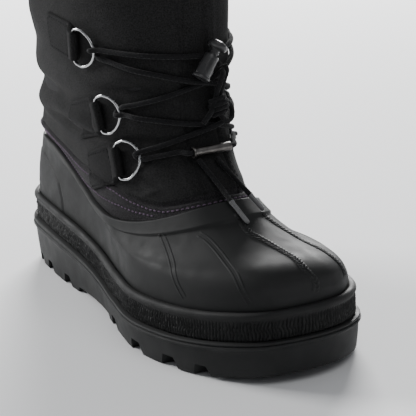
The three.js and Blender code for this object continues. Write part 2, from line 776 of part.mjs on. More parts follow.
function buildFreeLace() {
  for (const { name, points, steps } of FREE_LACE) {
    const line = points.map((p) => new THREE.Vector3(...p));
    addPiece(name, cordAlong(line, LACE_RADIUS, steps), cord);
  }
  for (const { name, from, to } of AGLETS) {
    const aglet = barBetween(new THREE.Vector3(...from), new THREE.Vector3(...to), AGLET_RADIUS, 10);
    addPiece(name, fromSolid(aglet), lockPlastic);
  }
}

// The overhand knot that holds both tails, with its short end.
function buildKnot() {
  const ball = new THREE.SphereGeometry(1, 12, 8);
  ball.scale(...KNOT.size.map((size) => size / 2));
  ball.translate(...KNOT.middle);
  const tip = cordAlong(KNOT.tip.map((p) => new THREE.Vector3(...p)), LACE_RADIUS, 3);
  addPiece('lace_knot', fromSolid(toSolid(ball).add(toSolid(tip))), cord);
}

// ---------------------------------------------------------------- cord lock
// Profile rows are radius and depth below the button's top.
function turnedSolid(rows, sides) {
  const profile = rows.map(([radius, depth]) => new THREE.Vector2(radius, -depth));
  const geometry = new THREE.LatheGeometry(profile, sides);
  return toSolid(geometry);
}

// A slot right through, across the lock's axis, from one depth to another.
function slotThrough(top, foot) {
  const slot = new THREE.BoxGeometry(20, foot - top, HOLE_WIDTH);
  slot.translate(0, -(top + foot) / 2, 0);
  return toSolid(slot);
}

function placeOnLock(name, solid, material) {
  const piece = addPiece(name, fromSolid(solid), material);
  const across = new THREE.Vector3().crossVectors(LOCK_AXIS, new THREE.Vector3(1, 0, 0)).normalize();
  const outward = new THREE.Vector3().crossVectors(across, LOCK_AXIS);
  const hole = across.multiplyScalar(Math.cos(LOCK_TURN)).addScaledVector(outward, Math.sin(LOCK_TURN));
  const third = new THREE.Vector3().crossVectors(hole, LOCK_AXIS);
  piece.setRotationFromMatrix(new THREE.Matrix4().makeBasis(hole, LOCK_AXIS, third));
  piece.position.copy(LOCK_TOP);
}

function buildLock() {
  const { buttonFoot, barrelTop, holeTop, holeFoot, stemFoot, barrelFoot } = LOCK;
  const barrel = turnedSolid([
    [BARREL_BORE, barrelTop], [BARREL_BORE, barrelFoot], [5.3, barrelFoot], [5.3, barrelFoot - 1.4],
    [4.7, holeFoot - 1], [4.3, barrelTop + 0.6], [4, barrelTop], [BARREL_BORE, barrelTop],
  ], 16).subtract(slotThrough(holeTop, holeFoot));
  placeOnLock('lock_barrel', barrel, gunmetal);
  const button = turnedSolid([
    [0, stemFoot], [STEM_RADIUS - 0.4, stemFoot], [STEM_RADIUS, stemFoot - 0.5], [STEM_RADIUS, buttonFoot],
    [4.6, buttonFoot], [5.8, buttonFoot - 1], [5.9, 2.6], [5, 1], [3, 0.2], [0, 0],
  ], 16).subtract(slotThrough(holeTop - LOCK_TRAVEL, holeFoot));
  placeOnLock('lock_button', button, lockPlastic);
}

buildOutsole();
buildFoxing();
buildShell();
buildShaft();
buildInsole();
buildRings();
buildCrossing('lace_crossing_low', 'lower', 'middle');
buildCrossing('lace_crossing_high', 'middle', 'upper');
buildBase();
buildTube();
buildTopStrands();
buildFreeLace();
buildKnot();
buildLock();

export default boot;
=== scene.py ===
"""Looks of the right snow boot: rubber shell and sole, cloth shaft, D-rings, lace and cord lock.

Shapes are worked out in millimetres in the model's frame (+X toe, -Y lateral side, +Z up) and
turned into metres when a mesh is made.
"""
import math

import bmesh
import bpy
import numpy as np
from mathutils import Matrix, Vector
from mathutils.kdtree import KDTree


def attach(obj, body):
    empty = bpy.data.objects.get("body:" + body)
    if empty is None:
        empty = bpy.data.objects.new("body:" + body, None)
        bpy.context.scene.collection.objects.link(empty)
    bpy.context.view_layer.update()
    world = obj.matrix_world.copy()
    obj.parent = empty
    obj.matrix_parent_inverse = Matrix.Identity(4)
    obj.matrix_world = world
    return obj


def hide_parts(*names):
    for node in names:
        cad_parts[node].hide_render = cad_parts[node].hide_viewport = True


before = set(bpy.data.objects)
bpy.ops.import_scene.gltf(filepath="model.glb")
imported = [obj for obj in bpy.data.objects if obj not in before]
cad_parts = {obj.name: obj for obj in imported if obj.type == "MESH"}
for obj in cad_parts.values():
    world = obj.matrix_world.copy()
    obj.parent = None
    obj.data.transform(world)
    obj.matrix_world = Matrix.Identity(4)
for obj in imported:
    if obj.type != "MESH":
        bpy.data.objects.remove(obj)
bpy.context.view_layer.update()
MM = 0.001

# ---------------------------------------------------------------- driving sizes of the model
LENGTH = 312
BALL_WIDTH = 117
TOE_SHIFT = 5
HEEL_SOLE = 31.4
TOE_DROP = 5
EDGE_SAG = 8.2
TOE_SPRING = 7
TOE_SPRING_START = 0.78
SHELL_INSET = 6.4
SHELL_WALL = 2.6
SHAFT_WALL = 3
GAP = 0.3
LUG_DEPTH = 7
ARCH_LIFT = 4
RIM = 7
COLLAR = 15
SHAFT_FOOT = 5.6
RIM_BAND_FOOT = 6.3
RIM_PROUD = 1.2
OVAL_POWER = 2.3

# Half widths of the sole about its middle line, as shares of half the ball width.
SOLE_OUTLINE = {
    "along": [0.03, 0.08, 0.16, 0.27, 0.38, 0.48, 0.58, 0.68, 0.78, 0.87, 0.94, 0.985],
    "lateral": [0.427, 0.614, 0.696, 0.745, 0.759, 0.815, 0.927, 1.02, 0.975, 0.848, 0.653, 0.4],
    "medial": [0.43, 0.62, 0.695, 0.69, 0.65, 0.69, 0.82, 0.963, 0.981, 0.877, 0.668, 0.36],
}

# Sections of the upper from seat to collar, one column for each size.
UPPER_SECTIONS = {
    "front": [0, 0, 0.5, 3, 12, 31, 51, 67, 81, 92, 98, 101, 102, 103, 104, 105],
    "frontRise": [GAP, 15.8, 23, 30, 35.5, 40, 47.5, 57.5, 68, 79, 92, 109, 129, 154, 190, 230],
    "back": [0, 0, 0.5, 1, 1.5, 2.5, 4, 5.6, 9.5, 13, 17, 21, 25, 28, 30, 30.5],
    "backRise": [GAP, 15.8, 23, 30, 36.5, 42, 48, 53, 62, 73, 85, 101, 120, 145, 182, 223],
    "lateral": [1, 1, 0.998, 0.98, 0.945, 0.9, 0.86, 0.83, 0.81, 0.81, 0.825, 0.855, 0.89, 0.925, 0.95, 0.97],
    "medial": [1, 1, 0.995, 0.94, 0.87, 0.79, 0.74, 0.7, 0.69, 0.7, 0.7, 0.73, 0.78, 0.85, 0.92, 0.96],
    "sag": [0, 0, 0.4, 1, 2.5, 4.5, 7, 9.5, 6, 1, -4, -7, -8.2, -8.2, -8.2, -8.2],
    "shift": [0, 0, 0, -1, -3, -5, -6.5, -8, -8, -7, -6, -5, -4, -3, -2, -1],
    "round": [0, 0, 0, 0, 0, 0, 0.1, 0.25, 0.5, 0.7, 0.85, 0.95, 1, 1, 1, 1],
}


# ---------------------------------------------------------------- small helpers
def clamp01(t):
    return np.clip(t, 0, 1)


def mix(a, b, t):
    return a + (b - a) * t


def smooth(t):
    return clamp01(t) ** 2 * (3 - 2 * clamp01(t))


def hump(distance, width):
    return np.exp(-((distance / width) ** 2))


def unit(vectors):
    return vectors / np.linalg.norm(vectors, axis=-1, keepdims=True)


def circle(count):
    """Even turns round a full circle."""
    return np.linspace(0, 2 * np.pi, count, endpoint=False)


def run_along(line):
    """How far along the line each of its points is."""
    return np.concatenate([[0], np.cumsum(np.linalg.norm(np.diff(line, axis=0), axis=1))])


def at_distance(at, run, rows):
    """The rows' values at given distances along a line."""
    return np.stack([np.interp(at, run, rows[:, k]) for k in range(3)], axis=-1)


def halve(shape, low, high, is_below, steps=20):
    """Where is_below turns from true to false between two limits, by halving."""
    low, high = np.full(shape, float(low)), np.full(shape, float(high))
    for _ in range(steps):
        middle = (low + high) / 2
        below = is_below(middle)
        low, high = np.where(below, middle, low), np.where(below, high, middle)
    return low


def value_at(places, values, at):
    """Smooth value of one column of a table whose rows sit at the given places."""
    places, values = np.asarray(places, float), np.asarray(values, float)
    last = len(places) - 1
    x = np.clip(at, places[0], places[-1])
    i = np.clip(np.searchsorted(places, x, side="left") - 1, 0, last - 1)
    low = np.maximum(0, np.arange(last + 1) - 1)
    high = np.minimum(last, np.arange(last + 1) + 1)
    slope = (values[high] - values[low]) / (places[high] - places[low])
    span = places[i + 1] - places[i]
    t = (x - places[i]) / span
    level = mix(values[i], values[i + 1], t * t * (3 - 2 * t))
    return level + t * (1 - t) ** 2 * slope[i] * span + t * t * (t - 1) * slope[i + 1] * span


# ---------------------------------------------------------------- the boot's form
# A turn runs round the boot: 0 at the heel, pi at the toe, lateral side first, medial side back.
OUTLINE_ANGLES = np.arccos(1 - 2 * np.array(SOLE_OUTLINE["along"]))
OUTLINE_FULLNESS = {
    side: np.array(SOLE_OUTLINE[name]) / np.sin(OUTLINE_ANGLES)
    for side, name in ((-1, "lateral"), (1, "medial"))
}


def middle_line(along):
    return TOE_SHIFT * np.maximum(0, 2 * along - 1) ** 2


def split_turn(turn):
    turn = np.mod(turn, 2 * np.pi)
    return np.where(turn <= np.pi, -1, 1), np.where(turn <= np.pi, turn, 2 * np.pi - turn)


def raw_outline(turn):
    side, angle = split_turn(turn)
    along = (1 - np.cos(angle)) / 2
    lateral = value_at(OUTLINE_ANGLES, OUTLINE_FULLNESS[-1], angle)
    medial = value_at(OUTLINE_ANGLES, OUTLINE_FULLNESS[1], angle)
    half = BALL_WIDTH / 2 * np.where(side < 0, lateral, medial) * np.sin(angle)
    return np.stack([(along - 0.5) * LENGTH, middle_line(along) + side * half], axis=-1)


def outline_point(turn, inset):
    """The sole's outline moved inward by inset, along its own normal."""
    along = unit(raw_outline(turn + 0.02) - raw_outline(turn - 0.02))
    inward = np.stack([-along[..., 1], along[..., 0]], axis=-1)
    return raw_outline(turn) + inward * np.asarray(inset)[..., None]


OUTLINE_Y = raw_outline(circle(48))[:, 1]
CENTRE_Y = (OUTLINE_Y.min() + OUTLINE_Y.max()) / 2
SEAT_BACK = outline_point(0.0, SHELL_INSET)[0]
SEAT_FRONT = outline_point(np.pi, SHELL_INSET)[0]


def dip(along):
    return smooth((along - 0.2) / 0.36) * (1 - clamp01((along - 0.7) / 0.3) ** 2)


def sole_edge_height(x):
    along = clamp01(x / LENGTH + 0.5)
    return HEEL_SOLE - TOE_DROP * along - EDGE_SAG * dip(along)


def tread_height(x):
    return TOE_SPRING * clamp01((x / LENGTH + 0.5 - TOE_SPRING_START) / (1 - TOE_SPRING_START)) ** 2


def edge_ring(turns, inset, height):
    flat = outline_point(turns, inset)
    z = sole_edge_height(flat[..., 0]) + height
    return np.stack([flat[..., 0], flat[..., 1] - CENTRE_Y, z], axis=-1)


def toward_middle(ring, share):
    """A ring drawn in towards the sole's middle line."""
    along = clamp01((ring[:, 0] + LENGTH / 2) / LENGTH)
    middle = np.stack([ring[:, 0] * 0.66, middle_line(along) - CENTRE_Y, ring[:, 2]], axis=-1)
    return mix(ring, middle, share)


def section(level):
    places = np.arange(COLLAR + 1)
    return {name: value_at(places, column, level) for name, column in UPPER_SECTIONS.items()}


def bare_form(turn, level):
    """A point of the upper's outer face."""
    side, _ = split_turn(turn)
    row = section(level)
    seat = outline_point(turn, SHELL_INSET)
    along = clamp01((seat[..., 0] - SEAT_BACK) / (SEAT_FRONT - SEAT_BACK))
    share = np.where(side < 0, row["lateral"], row["medial"])
    foot_half = np.abs(seat[..., 1] - middle_line(along)) * share
    oval = np.maximum(0, 1 - np.abs(2 * along - 1) ** OVAL_POWER) ** (1 / OVAL_POWER)
    half = mix(foot_half, (BALL_WIDTH / 2 - SHELL_INSET) * share * oval, row["round"])
    x = mix(SEAT_BACK + row["back"], SEAT_FRONT - row["front"], along)
    y = middle_line(along) + row["shift"] * along ** 2 + side * half - CENTRE_Y
    rise = mix(row["backRise"], row["frontRise"], along)
    z = sole_edge_height(seat[..., 0]) + rise - row["sag"] * dip(along)
    return np.stack([x, y, z], axis=-1)


def form_normal(turn, level):
    around = bare_form(turn + 0.03, level) - bare_form(turn - 0.03, level)
    low, high = np.maximum(0, level - 0.05), np.minimum(COLLAR, level + 0.05)
    return unit(np.cross(around, bare_form(turn, high) - bare_form(turn, low)))


def form_point(turn, level, outset):
    return bare_form(turn, level) + form_normal(turn, level) * np.asarray(outset)[..., None]


def place_on(side, x, z):
    """Turn and level on one side of the form at the given x and height."""
    x, z = np.broadcast_arrays(np.asarray(x, float), np.asarray(z, float))
    angle = np.full(x.shape, np.pi / 2)
    level = np.full(x.shape, float(RIM))

    def turned(a):
        return a if side < 0 else 2 * np.pi - a

    for _ in range(5):
        level = halve(x.shape, RIM - 1, COLLAR, lambda l: bare_form(turned(angle), l)[..., 2] < z)
        angle = halve(x.shape, 0, np.pi, lambda a: bare_form(turned(a), level)[..., 0] < x)
    return turned(angle), level


# ---------------------------------------------------------------- meshes
def add_piece(name, mesh, slot, *nodes, body="boot"):
    """A piece that rides on a body and stands for the nodes. Its slot argument is not used."""
    piece = bpy.data.objects.new(name, mesh)
    bpy.context.scene.collection.objects.link(piece)
    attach(piece, body)
    if nodes:
        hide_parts(*nodes)
    return piece


def mesh_from(name, points, faces, materials, uvs=None):
    """A smooth-shaded mesh from points in millimetres. uvs run by corner."""
    mesh = bpy.data.meshes.new(name)
    mesh.from_pydata((np.asarray(points) * MM).tolist(), [], faces)
    for material in materials:
        mesh.materials.append(material)
    mesh.polygons.foreach_set("use_smooth", [True] * len(mesh.polygons))
    if uvs is not None:
        mesh.uv_layers.new(name="UVMap").data.foreach_set("uv", np.asarray(uvs, np.float32).ravel())
    mesh.update()
    return mesh


def turned_out(points, faces):
    """Faces that point out, judged by the sign of the volume that they enclose."""
    p = np.asarray(points)
    corners = np.array([face[:3] for face in faces])
    a, b, c = (p[corners[:, k]] for k in range(3))
    if np.einsum("ij,ij->", a, np.cross(b, c)) < 0:
        return [face[::-1] for face in faces], True
    return faces, False


def ring_mesh(name, rings, materials, loop=True, caps=False):
    """Closed rings joined in order. loop joins the last to the first, caps closes both ends.

    UVs are in millimetres, round the ring and from ring to ring."""
    rings = np.asarray(rings, float)
    rows, count = rings.shape[:2]
    bands = rows if loop else rows - 1
    r, i = np.meshgrid(np.arange(bands), np.arange(count), indexing="ij")
    j, above = (i + 1) % count, (r + 1) % rows
    quads = np.stack([r * count + i, r * count + j, above * count + j, above * count + i], axis=-1)
    around = np.linalg.norm(np.roll(rings, -1, axis=1) - rings, axis=-1).mean(axis=0)
    u = np.concatenate([[0], np.cumsum(around)])
    steps = np.linalg.norm(np.roll(rings, -1, axis=0) - rings, axis=-1).mean(axis=1)
    v = np.concatenate([[0], np.cumsum(steps)])
    corner_u = np.stack([u[i], u[i + 1], u[i + 1], u[i]], axis=-1)
    corner_v = np.stack([v[r], v[r], v[r + 1], v[r + 1]], axis=-1)
    uvs = np.stack([corner_u, corner_v], axis=-1).reshape(-1, 4, 2)
    faces = quads.reshape(-1, 4).tolist()
    points = rings.reshape(-1, 3)
    if caps:
        ends = [(rings[0].mean(axis=0), 0, True), (rings[-1].mean(axis=0), (rows - 1) * count, False)]
        for middle, start, flip in ends:
            points = np.vstack([points, middle])
            for k in range(count):
                face = [start + k, start + (k + 1) % count, len(points) - 1]
                faces.append(face[::-1] if flip else face)
    corner_uvs = np.vstack([uvs.reshape(-1, 2), np.zeros((2 * count * 3 if caps else 0, 2))])
    faces, flipped = turned_out(points, faces)
    if flipped:
        quads_part = corner_uvs[: len(uvs) * 4].reshape(-1, 4, 2)[:, ::-1].reshape(-1, 2)
        corner_uvs = np.vstack([quads_part, corner_uvs[len(uvs) * 4:]])
    return mesh_from(name, points, faces, materials, corner_uvs)


def capped(name, rings, material):
    """Rings joined in order and closed at both ends."""
    return ring_mesh(name, rings, [material], loop=False, caps=True)


def smooth_line(points, spacing):
    """Points at an even spacing along a centripetal Catmull-Rom curve."""
    p = np.asarray(points, float)
    p = np.vstack([2 * p[0] - p[1], p, 2 * p[-1] - p[-2]])
    dense = []
    for k in range(1, len(p) - 2):
        q = p[k - 1:k + 3]
        knots = np.concatenate([[0], np.cumsum(np.linalg.norm(np.diff(q, axis=0), axis=1) ** 0.5)])
        t = np.linspace(knots[1], knots[2], 24, endpoint=False)[:, None]
        a = [(knots[n + 1] - t) * q[n] + (t - knots[n]) * q[n + 1] for n in range(3)]
        a = [a[n] / (knots[n + 1] - knots[n]) for n in range(3)]
        b = [(knots[n + 2] - t) * a[n] + (t - knots[n]) * a[n + 1] for n in (0, 1)]
        b = [b[n] / (knots[n + 2] - knots[n]) for n in (0, 1)]
        dense.append(((knots[2] - t) * b[0] + (t - knots[1]) * b[1]) / (knots[2] - knots[1]))
    dense = np.vstack([*dense, p[-2:-1]])
    run = run_along(dense)
    at = np.linspace(0, run[-1], max(2, round(run[-1] / spacing) + 1))
    return at_distance(at, run, dense)


def line_frames(line, closed=False):
    """Directions along and across a line, carried along it without twisting."""
    if closed:
        along = unit(np.roll(line, -1, axis=0) - np.roll(line, 1, axis=0))
    else:
        along = unit(np.gradient(line, axis=0))
    across = np.empty_like(line)
    start = np.cross(along[0], [0, 0, 1])
    if np.linalg.norm(start) < 0.1:
        start = np.cross(along[0], [0, 1, 0])
    across[0] = unit(start)
    for k in range(1, len(line)):
        across[k] = unit(across[k - 1] - along[k] * (across[k - 1] @ along[k]))
    return along, across, np.cross(along, across)


def tube_rings(line, radius, sides, closed=False):
    """Rings of a round tube. radius is one number, or one for each ring and side."""
    _, across, third = line_frames(line, closed)
    turn = circle(sides)
    spokes = across[:, None] * np.cos(turn)[None, :, None] + third[:, None] * np.sin(turn)[None, :, None]
    return line[:, None] + spokes * np.broadcast_to(radius, (len(line), sides))[..., None]


# ---------------------------------------------------------------- materials
class Shading:
    """One procedural material: its colour, roughness and bump are built up in layers."""

    def __init__(self, name, colour, roughness, metallic=0.0, sheen=0.0, specular=0.5):
        self.material = bpy.data.materials.new(name)
        self.material.use_nodes = True
        self.tree = self.material.node_tree
        self.shader = self.tree.nodes["Principled BSDF"]
        self.place = self.tree.nodes.new("ShaderNodeTexCoord")
        self.shader.inputs["Base Color"].default_value = (*colour, 1)
        plain = {"Roughness": roughness, "Metallic": metallic, "Sheen Weight": sheen, "Sheen Roughness": 0.4,
                 "Specular IOR Level": specular}
        for socket, value in plain.items():
            self.shader.inputs[socket].default_value = value
        self.normal = None

    def node(self, kind, **inputs):
        made = self.tree.nodes.new(kind)
        for name, value in inputs.items():
            socket = made.inputs[name.replace("_", " ")]
            if isinstance(value, bpy.types.NodeSocket):
                self.tree.links.new(value, socket)
            else:
                socket.default_value = value
        return made

    def noise(self, scale, detail=4.0, stretch=(1, 1, 1)):
        """Noise whose scale is in cells a metre."""
        mapping = self.node("ShaderNodeMapping", Vector=self.place.outputs["Object"], Scale=stretch)
        return self.node(
            "ShaderNodeTexNoise", Vector=mapping.outputs["Vector"], Scale=scale, Detail=detail
        ).outputs["Fac"]

    def spread(self, factor, low, high, start=0.35, end=0.65):
        ranged = self.node("ShaderNodeMapRange", Value=factor)
        for name, value in (("From Min", start), ("From Max", end), ("To Min", low), ("To Max", high)):
            ranged.inputs[name].default_value = value
        return ranged.outputs["Result"]

    def tint(self, factor, dark, light):
        ramp = self.tree.nodes.new("ShaderNodeValToRGB")
        for element, position, colour in zip(ramp.color_ramp.elements, (0.32, 0.68), (dark, light)):
            element.position = position
            element.color = (*colour, 1)
        self.tree.links.new(factor, ramp.inputs["Fac"])
        self.tree.links.new(ramp.outputs["Color"], self.shader.inputs["Base Color"])

    def gloss(self, factor, low, high):
        self.tree.links.new(self.spread(factor, low, high), self.shader.inputs["Roughness"])

    def bump(self, height, distance, strength=1.0):
        made = self.node("ShaderNodeBump", Height=height, Distance=distance, Strength=strength)
        if self.normal is not None:
            self.tree.links.new(self.normal, made.inputs["Normal"])
        self.normal = made.outputs["Normal"]
        self.tree.links.new(self.normal, self.shader.inputs["Normal"])

    def weave(self, pitch, slant=0.0):
        """Threads both ways at a pitch in millimetres of UV."""
        heights = []
        for turn in (slant, slant + math.pi / 2):
            mapping = self.node("ShaderNodeMapping", Vector=self.place.outputs["UV"], Rotation=(0, 0, turn))
            wave = self.node("ShaderNodeTexWave", Vector=mapping.outputs["Vector"], Scale=0.314 / pitch)
            wave.inputs["Distortion"].default_value = 0.4
            heights.append(wave.outputs["Fac"])
        joined = self.tree.nodes.new("ShaderNodeMath")
        joined.operation = "MAXIMUM"
        self.tree.links.new(heights[0], joined.inputs[0])
        self.tree.links.new(heights[1], joined.inputs[1])
        return joined.outputs["Value"]


def rubber(name, dark, light, roughness, grain, grain_scale, specular=0.5):
    made = Shading(name, dark, roughness, specular=specular)
    made.tint(made.noise(38, 5), dark, light)
    made.gloss(made.noise(90, 3), roughness - 0.05, roughness + 0.07)
    made.bump(made.noise(grain_scale, 3), grain)
    return made.material


def textile(name, dark, light, pitch, depth, sheen=0.02, slant=0.0):
    made = Shading(name, dark, 0.9, sheen=sheen, specular=0.12)
    made.tint(made.noise(1300, 6), dark, light)
    made.gloss(made.noise(60, 3), 0.84, 0.95)
    made.bump(made.noise(1100, 4), 0.00025, 0.8)
    made.bump(made.weave(pitch, slant), depth)
    return made.material


def metal(name, dark, light, roughness, scratch):
    made = Shading(name, dark, roughness, metallic=1.0)
    made.tint(made.noise(260, 4), dark, light)
    made.gloss(made.noise(500, 4, (1, 0.1, 1)), roughness, roughness + 0.14)
    made.bump(made.noise(1500, 2, (1, 0.15, 1)), scratch)
    return made.material


def felt_finish():
    made = Shading("insole_felt", (0.03, 0.03, 0.032), 1.0, sheen=0.4, specular=0.1)
    made.tint(made.noise(500, 6), (0.022, 0.022, 0.024), (0.05, 0.05, 0.053))
    made.bump(made.noise(1400, 5), 0.0006)
    return made.material


SHELL = rubber("shell_rubber", (0.0215, 0.022, 0.022), (0.0255, 0.026, 0.026), 0.6, 0.00006, 1400, 0.11)
SOLE = rubber("sole_rubber", (0.016, 0.0165, 0.0165), (0.02, 0.0205, 0.0205), 0.62, 0.00009, 1100, 0.22)
FOXING = rubber("foxing_rubber", (0.011, 0.0112, 0.0112), (0.016, 0.0163, 0.0163), 0.68, 0.00014, 900, 0.25)
CLOTH = textile("shaft_cloth", (0.0075, 0.0075, 0.0077), (0.0245, 0.0245, 0.0245), 0.7, 0.00007)
STRIP = textile("edge_strip", (0.008, 0.0077, 0.0082), (0.036, 0.034, 0.0365), 0.9, 0.00009)
TAB = textile("tab_cloth", (0.0065, 0.0065, 0.0068), (0.019, 0.019, 0.0192), 1.1, 0.00012, slant=0.785)
LINING = textile("lining", (0.02, 0.02, 0.021), (0.032, 0.032, 0.034), 1.3, 0.0003)
LACE = textile("lace_cord", (0.009, 0.009, 0.0095), (0.017, 0.017, 0.018), 0.55, 0.0001, sheen=0.1)
THREAD_DARK = textile("thread_dark", (0.01, 0.01, 0.0105), (0.018, 0.018, 0.019), 0.3, 0.00005)
THREAD_MAUVE = textile("thread_mauve", (0.1, 0.068, 0.105), (0.16, 0.115, 0.165), 0.3, 0.00005)
STEEL = metal("ring_steel", (0.36, 0.365, 0.37), (0.46, 0.465, 0.47), 0.16, 0.000002)
GUNMETAL = metal("gunmetal", (0.1, 0.094, 0.09), (0.19, 0.18, 0.172), 0.3, 0.00003)
LOCK_FINISH = rubber("lock_plastic", (0.02, 0.02, 0.0205), (0.034, 0.034, 0.035), 0.27, 0.00003, 1600)
AGLET = rubber("aglet_plastic", (0.1, 0.1, 0.102), (0.14, 0.14, 0.143), 0.3, 0.00003, 1600)
FELT = felt_finish()

# ---------------------------------------------------------------- camera
VIEW = {"azimuth": 62.65, "elevation": 16.69, "roll": -3.476, "distance": 1.0152, "lens": 149.27}
AIM = Vector((0.0171, 0.016, 0.06))


def place_camera():
    azimuth, elevation, roll = (math.radians(VIEW[name]) for name in ("azimuth", "elevation", "roll"))
    back = Vector((
        math.sin(azimuth) * math.cos(elevation), -math.cos(azimuth) * math.cos(elevation), math.sin(elevation)
    ))
    level = Vector((math.cos(azimuth), math.sin(azimuth), 0))
    rise = back.cross(level)
    right = level * math.cos(roll) + rise * math.sin(roll)
    up = rise * math.cos(roll) - level * math.sin(roll)
    camera = bpy.data.objects.new("camera", bpy.data.cameras.new("camera"))
    camera.data.lens = VIEW["lens"]
    camera.data.sensor_width = 36
    camera.data.clip_start = 0.05
    camera.data.clip_end = 50
    camera.matrix_world = Matrix.Translation(AIM + back * VIEW["distance"]) @ Matrix(
        (right, up, back)
    ).transposed().to_4x4()
    bpy.context.scene.collection.objects.link(camera)
    bpy.context.scene.camera = camera


place_camera()

# ---------------------------------------------------------------- cords
LACE_RADIUS = 1.5
BRAID_PITCH = 5.2
BRAID_LOBES = 4


def braided(line, radius=LACE_RADIUS, sides=20):
    """Rings of a round braid: two sets of strands that wind opposite ways."""
    run = run_along(line)
    turn = circle(sides)
    phase = 2 * np.pi * run[:, None] / BRAID_PITCH
    one = np.cos(BRAID_LOBES * turn[None] + phase * BRAID_LOBES / 2)
    other = np.cos(BRAID_LOBES * turn[None] - phase * BRAID_LOBES / 2)
    return tube_rings(line, radius - 0.16 + 0.16 * np.maximum(one, other), sides)


def lace_mesh(name, line, spacing=0.4):
    return capped(name, braided(smooth_line(line, spacing)), LACE)


def welded(mesh, reach):
    """The mesh with points closer than reach made one."""
    work = bmesh.new()
    work.from_mesh(mesh)
    bmesh.ops.remove_doubles(work, verts=work.verts, dist=reach)
    work.to_mesh(mesh)
    work.free()
    return mesh


def joined(name, meshes):
    """Several meshes as one, with the materials of the first."""
    together = bmesh.new()
    for mesh in meshes:
        together.from_mesh(mesh)
    out = bpy.data.meshes.new(name)
    together.to_mesh(out)
    together.free()
    for material in meshes[0].materials:
        out.materials.append(material)
    for mesh in meshes:
        bpy.data.meshes.remove(mesh)
    return out


# The lace's free stretches and its tips, in millimetres.
TAIL_LEFT = [
    (55.6, 9.6, 150.8), (55.6, 10.6, 148.4), (54.4, 9.4, 143.4), (54.2, 6.8, 137.9),
    (54.6, 5.4, 133.6), (55.4, 3, 129.4), (57.2, -0.6, 126.2), (57, -4.4, 122.4),
]
TAIL_RIGHT = [
    (52.8, 13.4, 152.2), (52.6, 14.6, 149), (51.4, 13.2, 143.2), (52.2, 10.4, 137.6), (52.4, 10.2, 134.4),
    (51.6, 13.2, 131.8), (51, 15.2, 130.2), (50.6, 17.6, 126), (52.8, 16, 122), (55.4, 11.4, 120.8),
    (55.8, 7.8, 124.6), (55.2, 6.8, 128.2),
]
END_NEAR = [(60.6, -10.4, 103.4), (63.2, -9.4, 100.6), (68.4, -7.4, 95.6), (76.8, -6, 90), (87.6, -6, 84.6)]
END_FAR = [(61.8, 0.4, 103.2), (63.8, 1.4, 100.4), (68.2, 4.2, 95.4), (75.4, 6.4, 90), (84.2, 8.2, 84.8)]
AGLETS = {
    "aglet_near": ((87.4, -6, 84.7), (99.6, -2.6, 74.6)),
    "aglet_far": ((84, 8.1, 84.9), (92, 11.4, 77.6)),
}
AGLET_PROFILE = ((0, 0), (1.5, 0), (1.6, 0.04), (1.35, 0.12), (1.3, 0.9), (1.1, 0.97), (0.7, 1), (0, 1))


def lathe_rings(profile, origin, axis, sides):
    """Rings of a turned shape. Profile rows are radius and distance along the axis."""
    axis = unit(np.asarray(axis, float))
    across = unit(np.cross(axis, [0.3, 0.2, 0.93]))
    third = np.cross(axis, across)
    turn = circle(sides)
    spokes = across * np.cos(turn)[:, None] + third * np.sin(turn)[:, None]
    return np.stack([
        np.asarray(origin) + axis * height + spokes * max(radius, 1e-3) for radius, height in profile
    ])


def round_profile(profile, spacing=0.25):
    """The rows of a profile with its corners softened a little."""
    rows = np.asarray(profile, float)
    out = [rows[0]]
    for k in range(1, len(rows) - 1):
        before, here, after = rows[k - 1], rows[k], rows[k + 1]
        cut = min(spacing, 0.4 * np.linalg.norm(here - before), 0.4 * np.linalg.norm(after - here))
        start, end = here + unit(before - here) * cut, here + unit(after - here) * cut
        out += [start, (start + end + 2 * here) / 4, end]
    out.append(rows[-1])
    return np.array(out)


def build_aglet(name):
    start, end = (np.array(p) for p in AGLETS[name])
    reach = np.linalg.norm(end - start)
    profile = round_profile([(radius, share * reach) for radius, share in AGLET_PROFILE])
    mesh = capped(name, lathe_rings(profile, start, end - start, 24), AGLET)
    return add_piece(name + "_look", mesh, "aglet_plastic", name)


def build_cord(name, points, nodes, with_pieces):
    line = smooth_line(points, 0.4)
    piece = add_piece(name, lace_mesh(name, points), "lace", *nodes)
    return piece


def knot_wraps():
    """The wraps of the overhand knot, round both tails, wider towards its foot."""
    share = np.linspace(0, 1, 56)
    turn = share * 2 * np.pi * 3.6
    middle = np.array([53.7, 7.2, 134.6]) + np.array([0.3, 0.7, -9.4]) * share[:, None]
    reach = 3.0 + 1.3 * np.sin(np.pi * clamp01(share * 1.15))
    across, third = unit(np.array([0.1, 1.0, 0.12])), unit(np.array([1.0, -0.1, 0.2]))
    return middle + across * (1.12 * reach * np.cos(turn))[:, None] + third * (reach * np.sin(turn))[:, None]


def build_cords():
    knot = add_piece("knot", lace_mesh("knot", knot_wraps()), "lace", "lace_knot")
    build_cord("lace_tail_a", TAIL_LEFT, ["lace_tail_left"], [])
    build_cord("lace_tail_b", TAIL_RIGHT, ["lace_tail_right", "lace_loop"], [knot])
    build_cord("lace_end_a", END_NEAR, ["lace_end_near"], [build_aglet("aglet_near")])
    build_cord("lace_end_b", END_FAR, ["lace_end_far"], [build_aglet("aglet_far")])


build_cords()


# ---------------------------------------------------------------- work on a surface
def mirrored(line):
    return [(x, -y, z) for x, y, z in line]


def relief(points, normals, heights):
    return points + normals * heights[..., None]


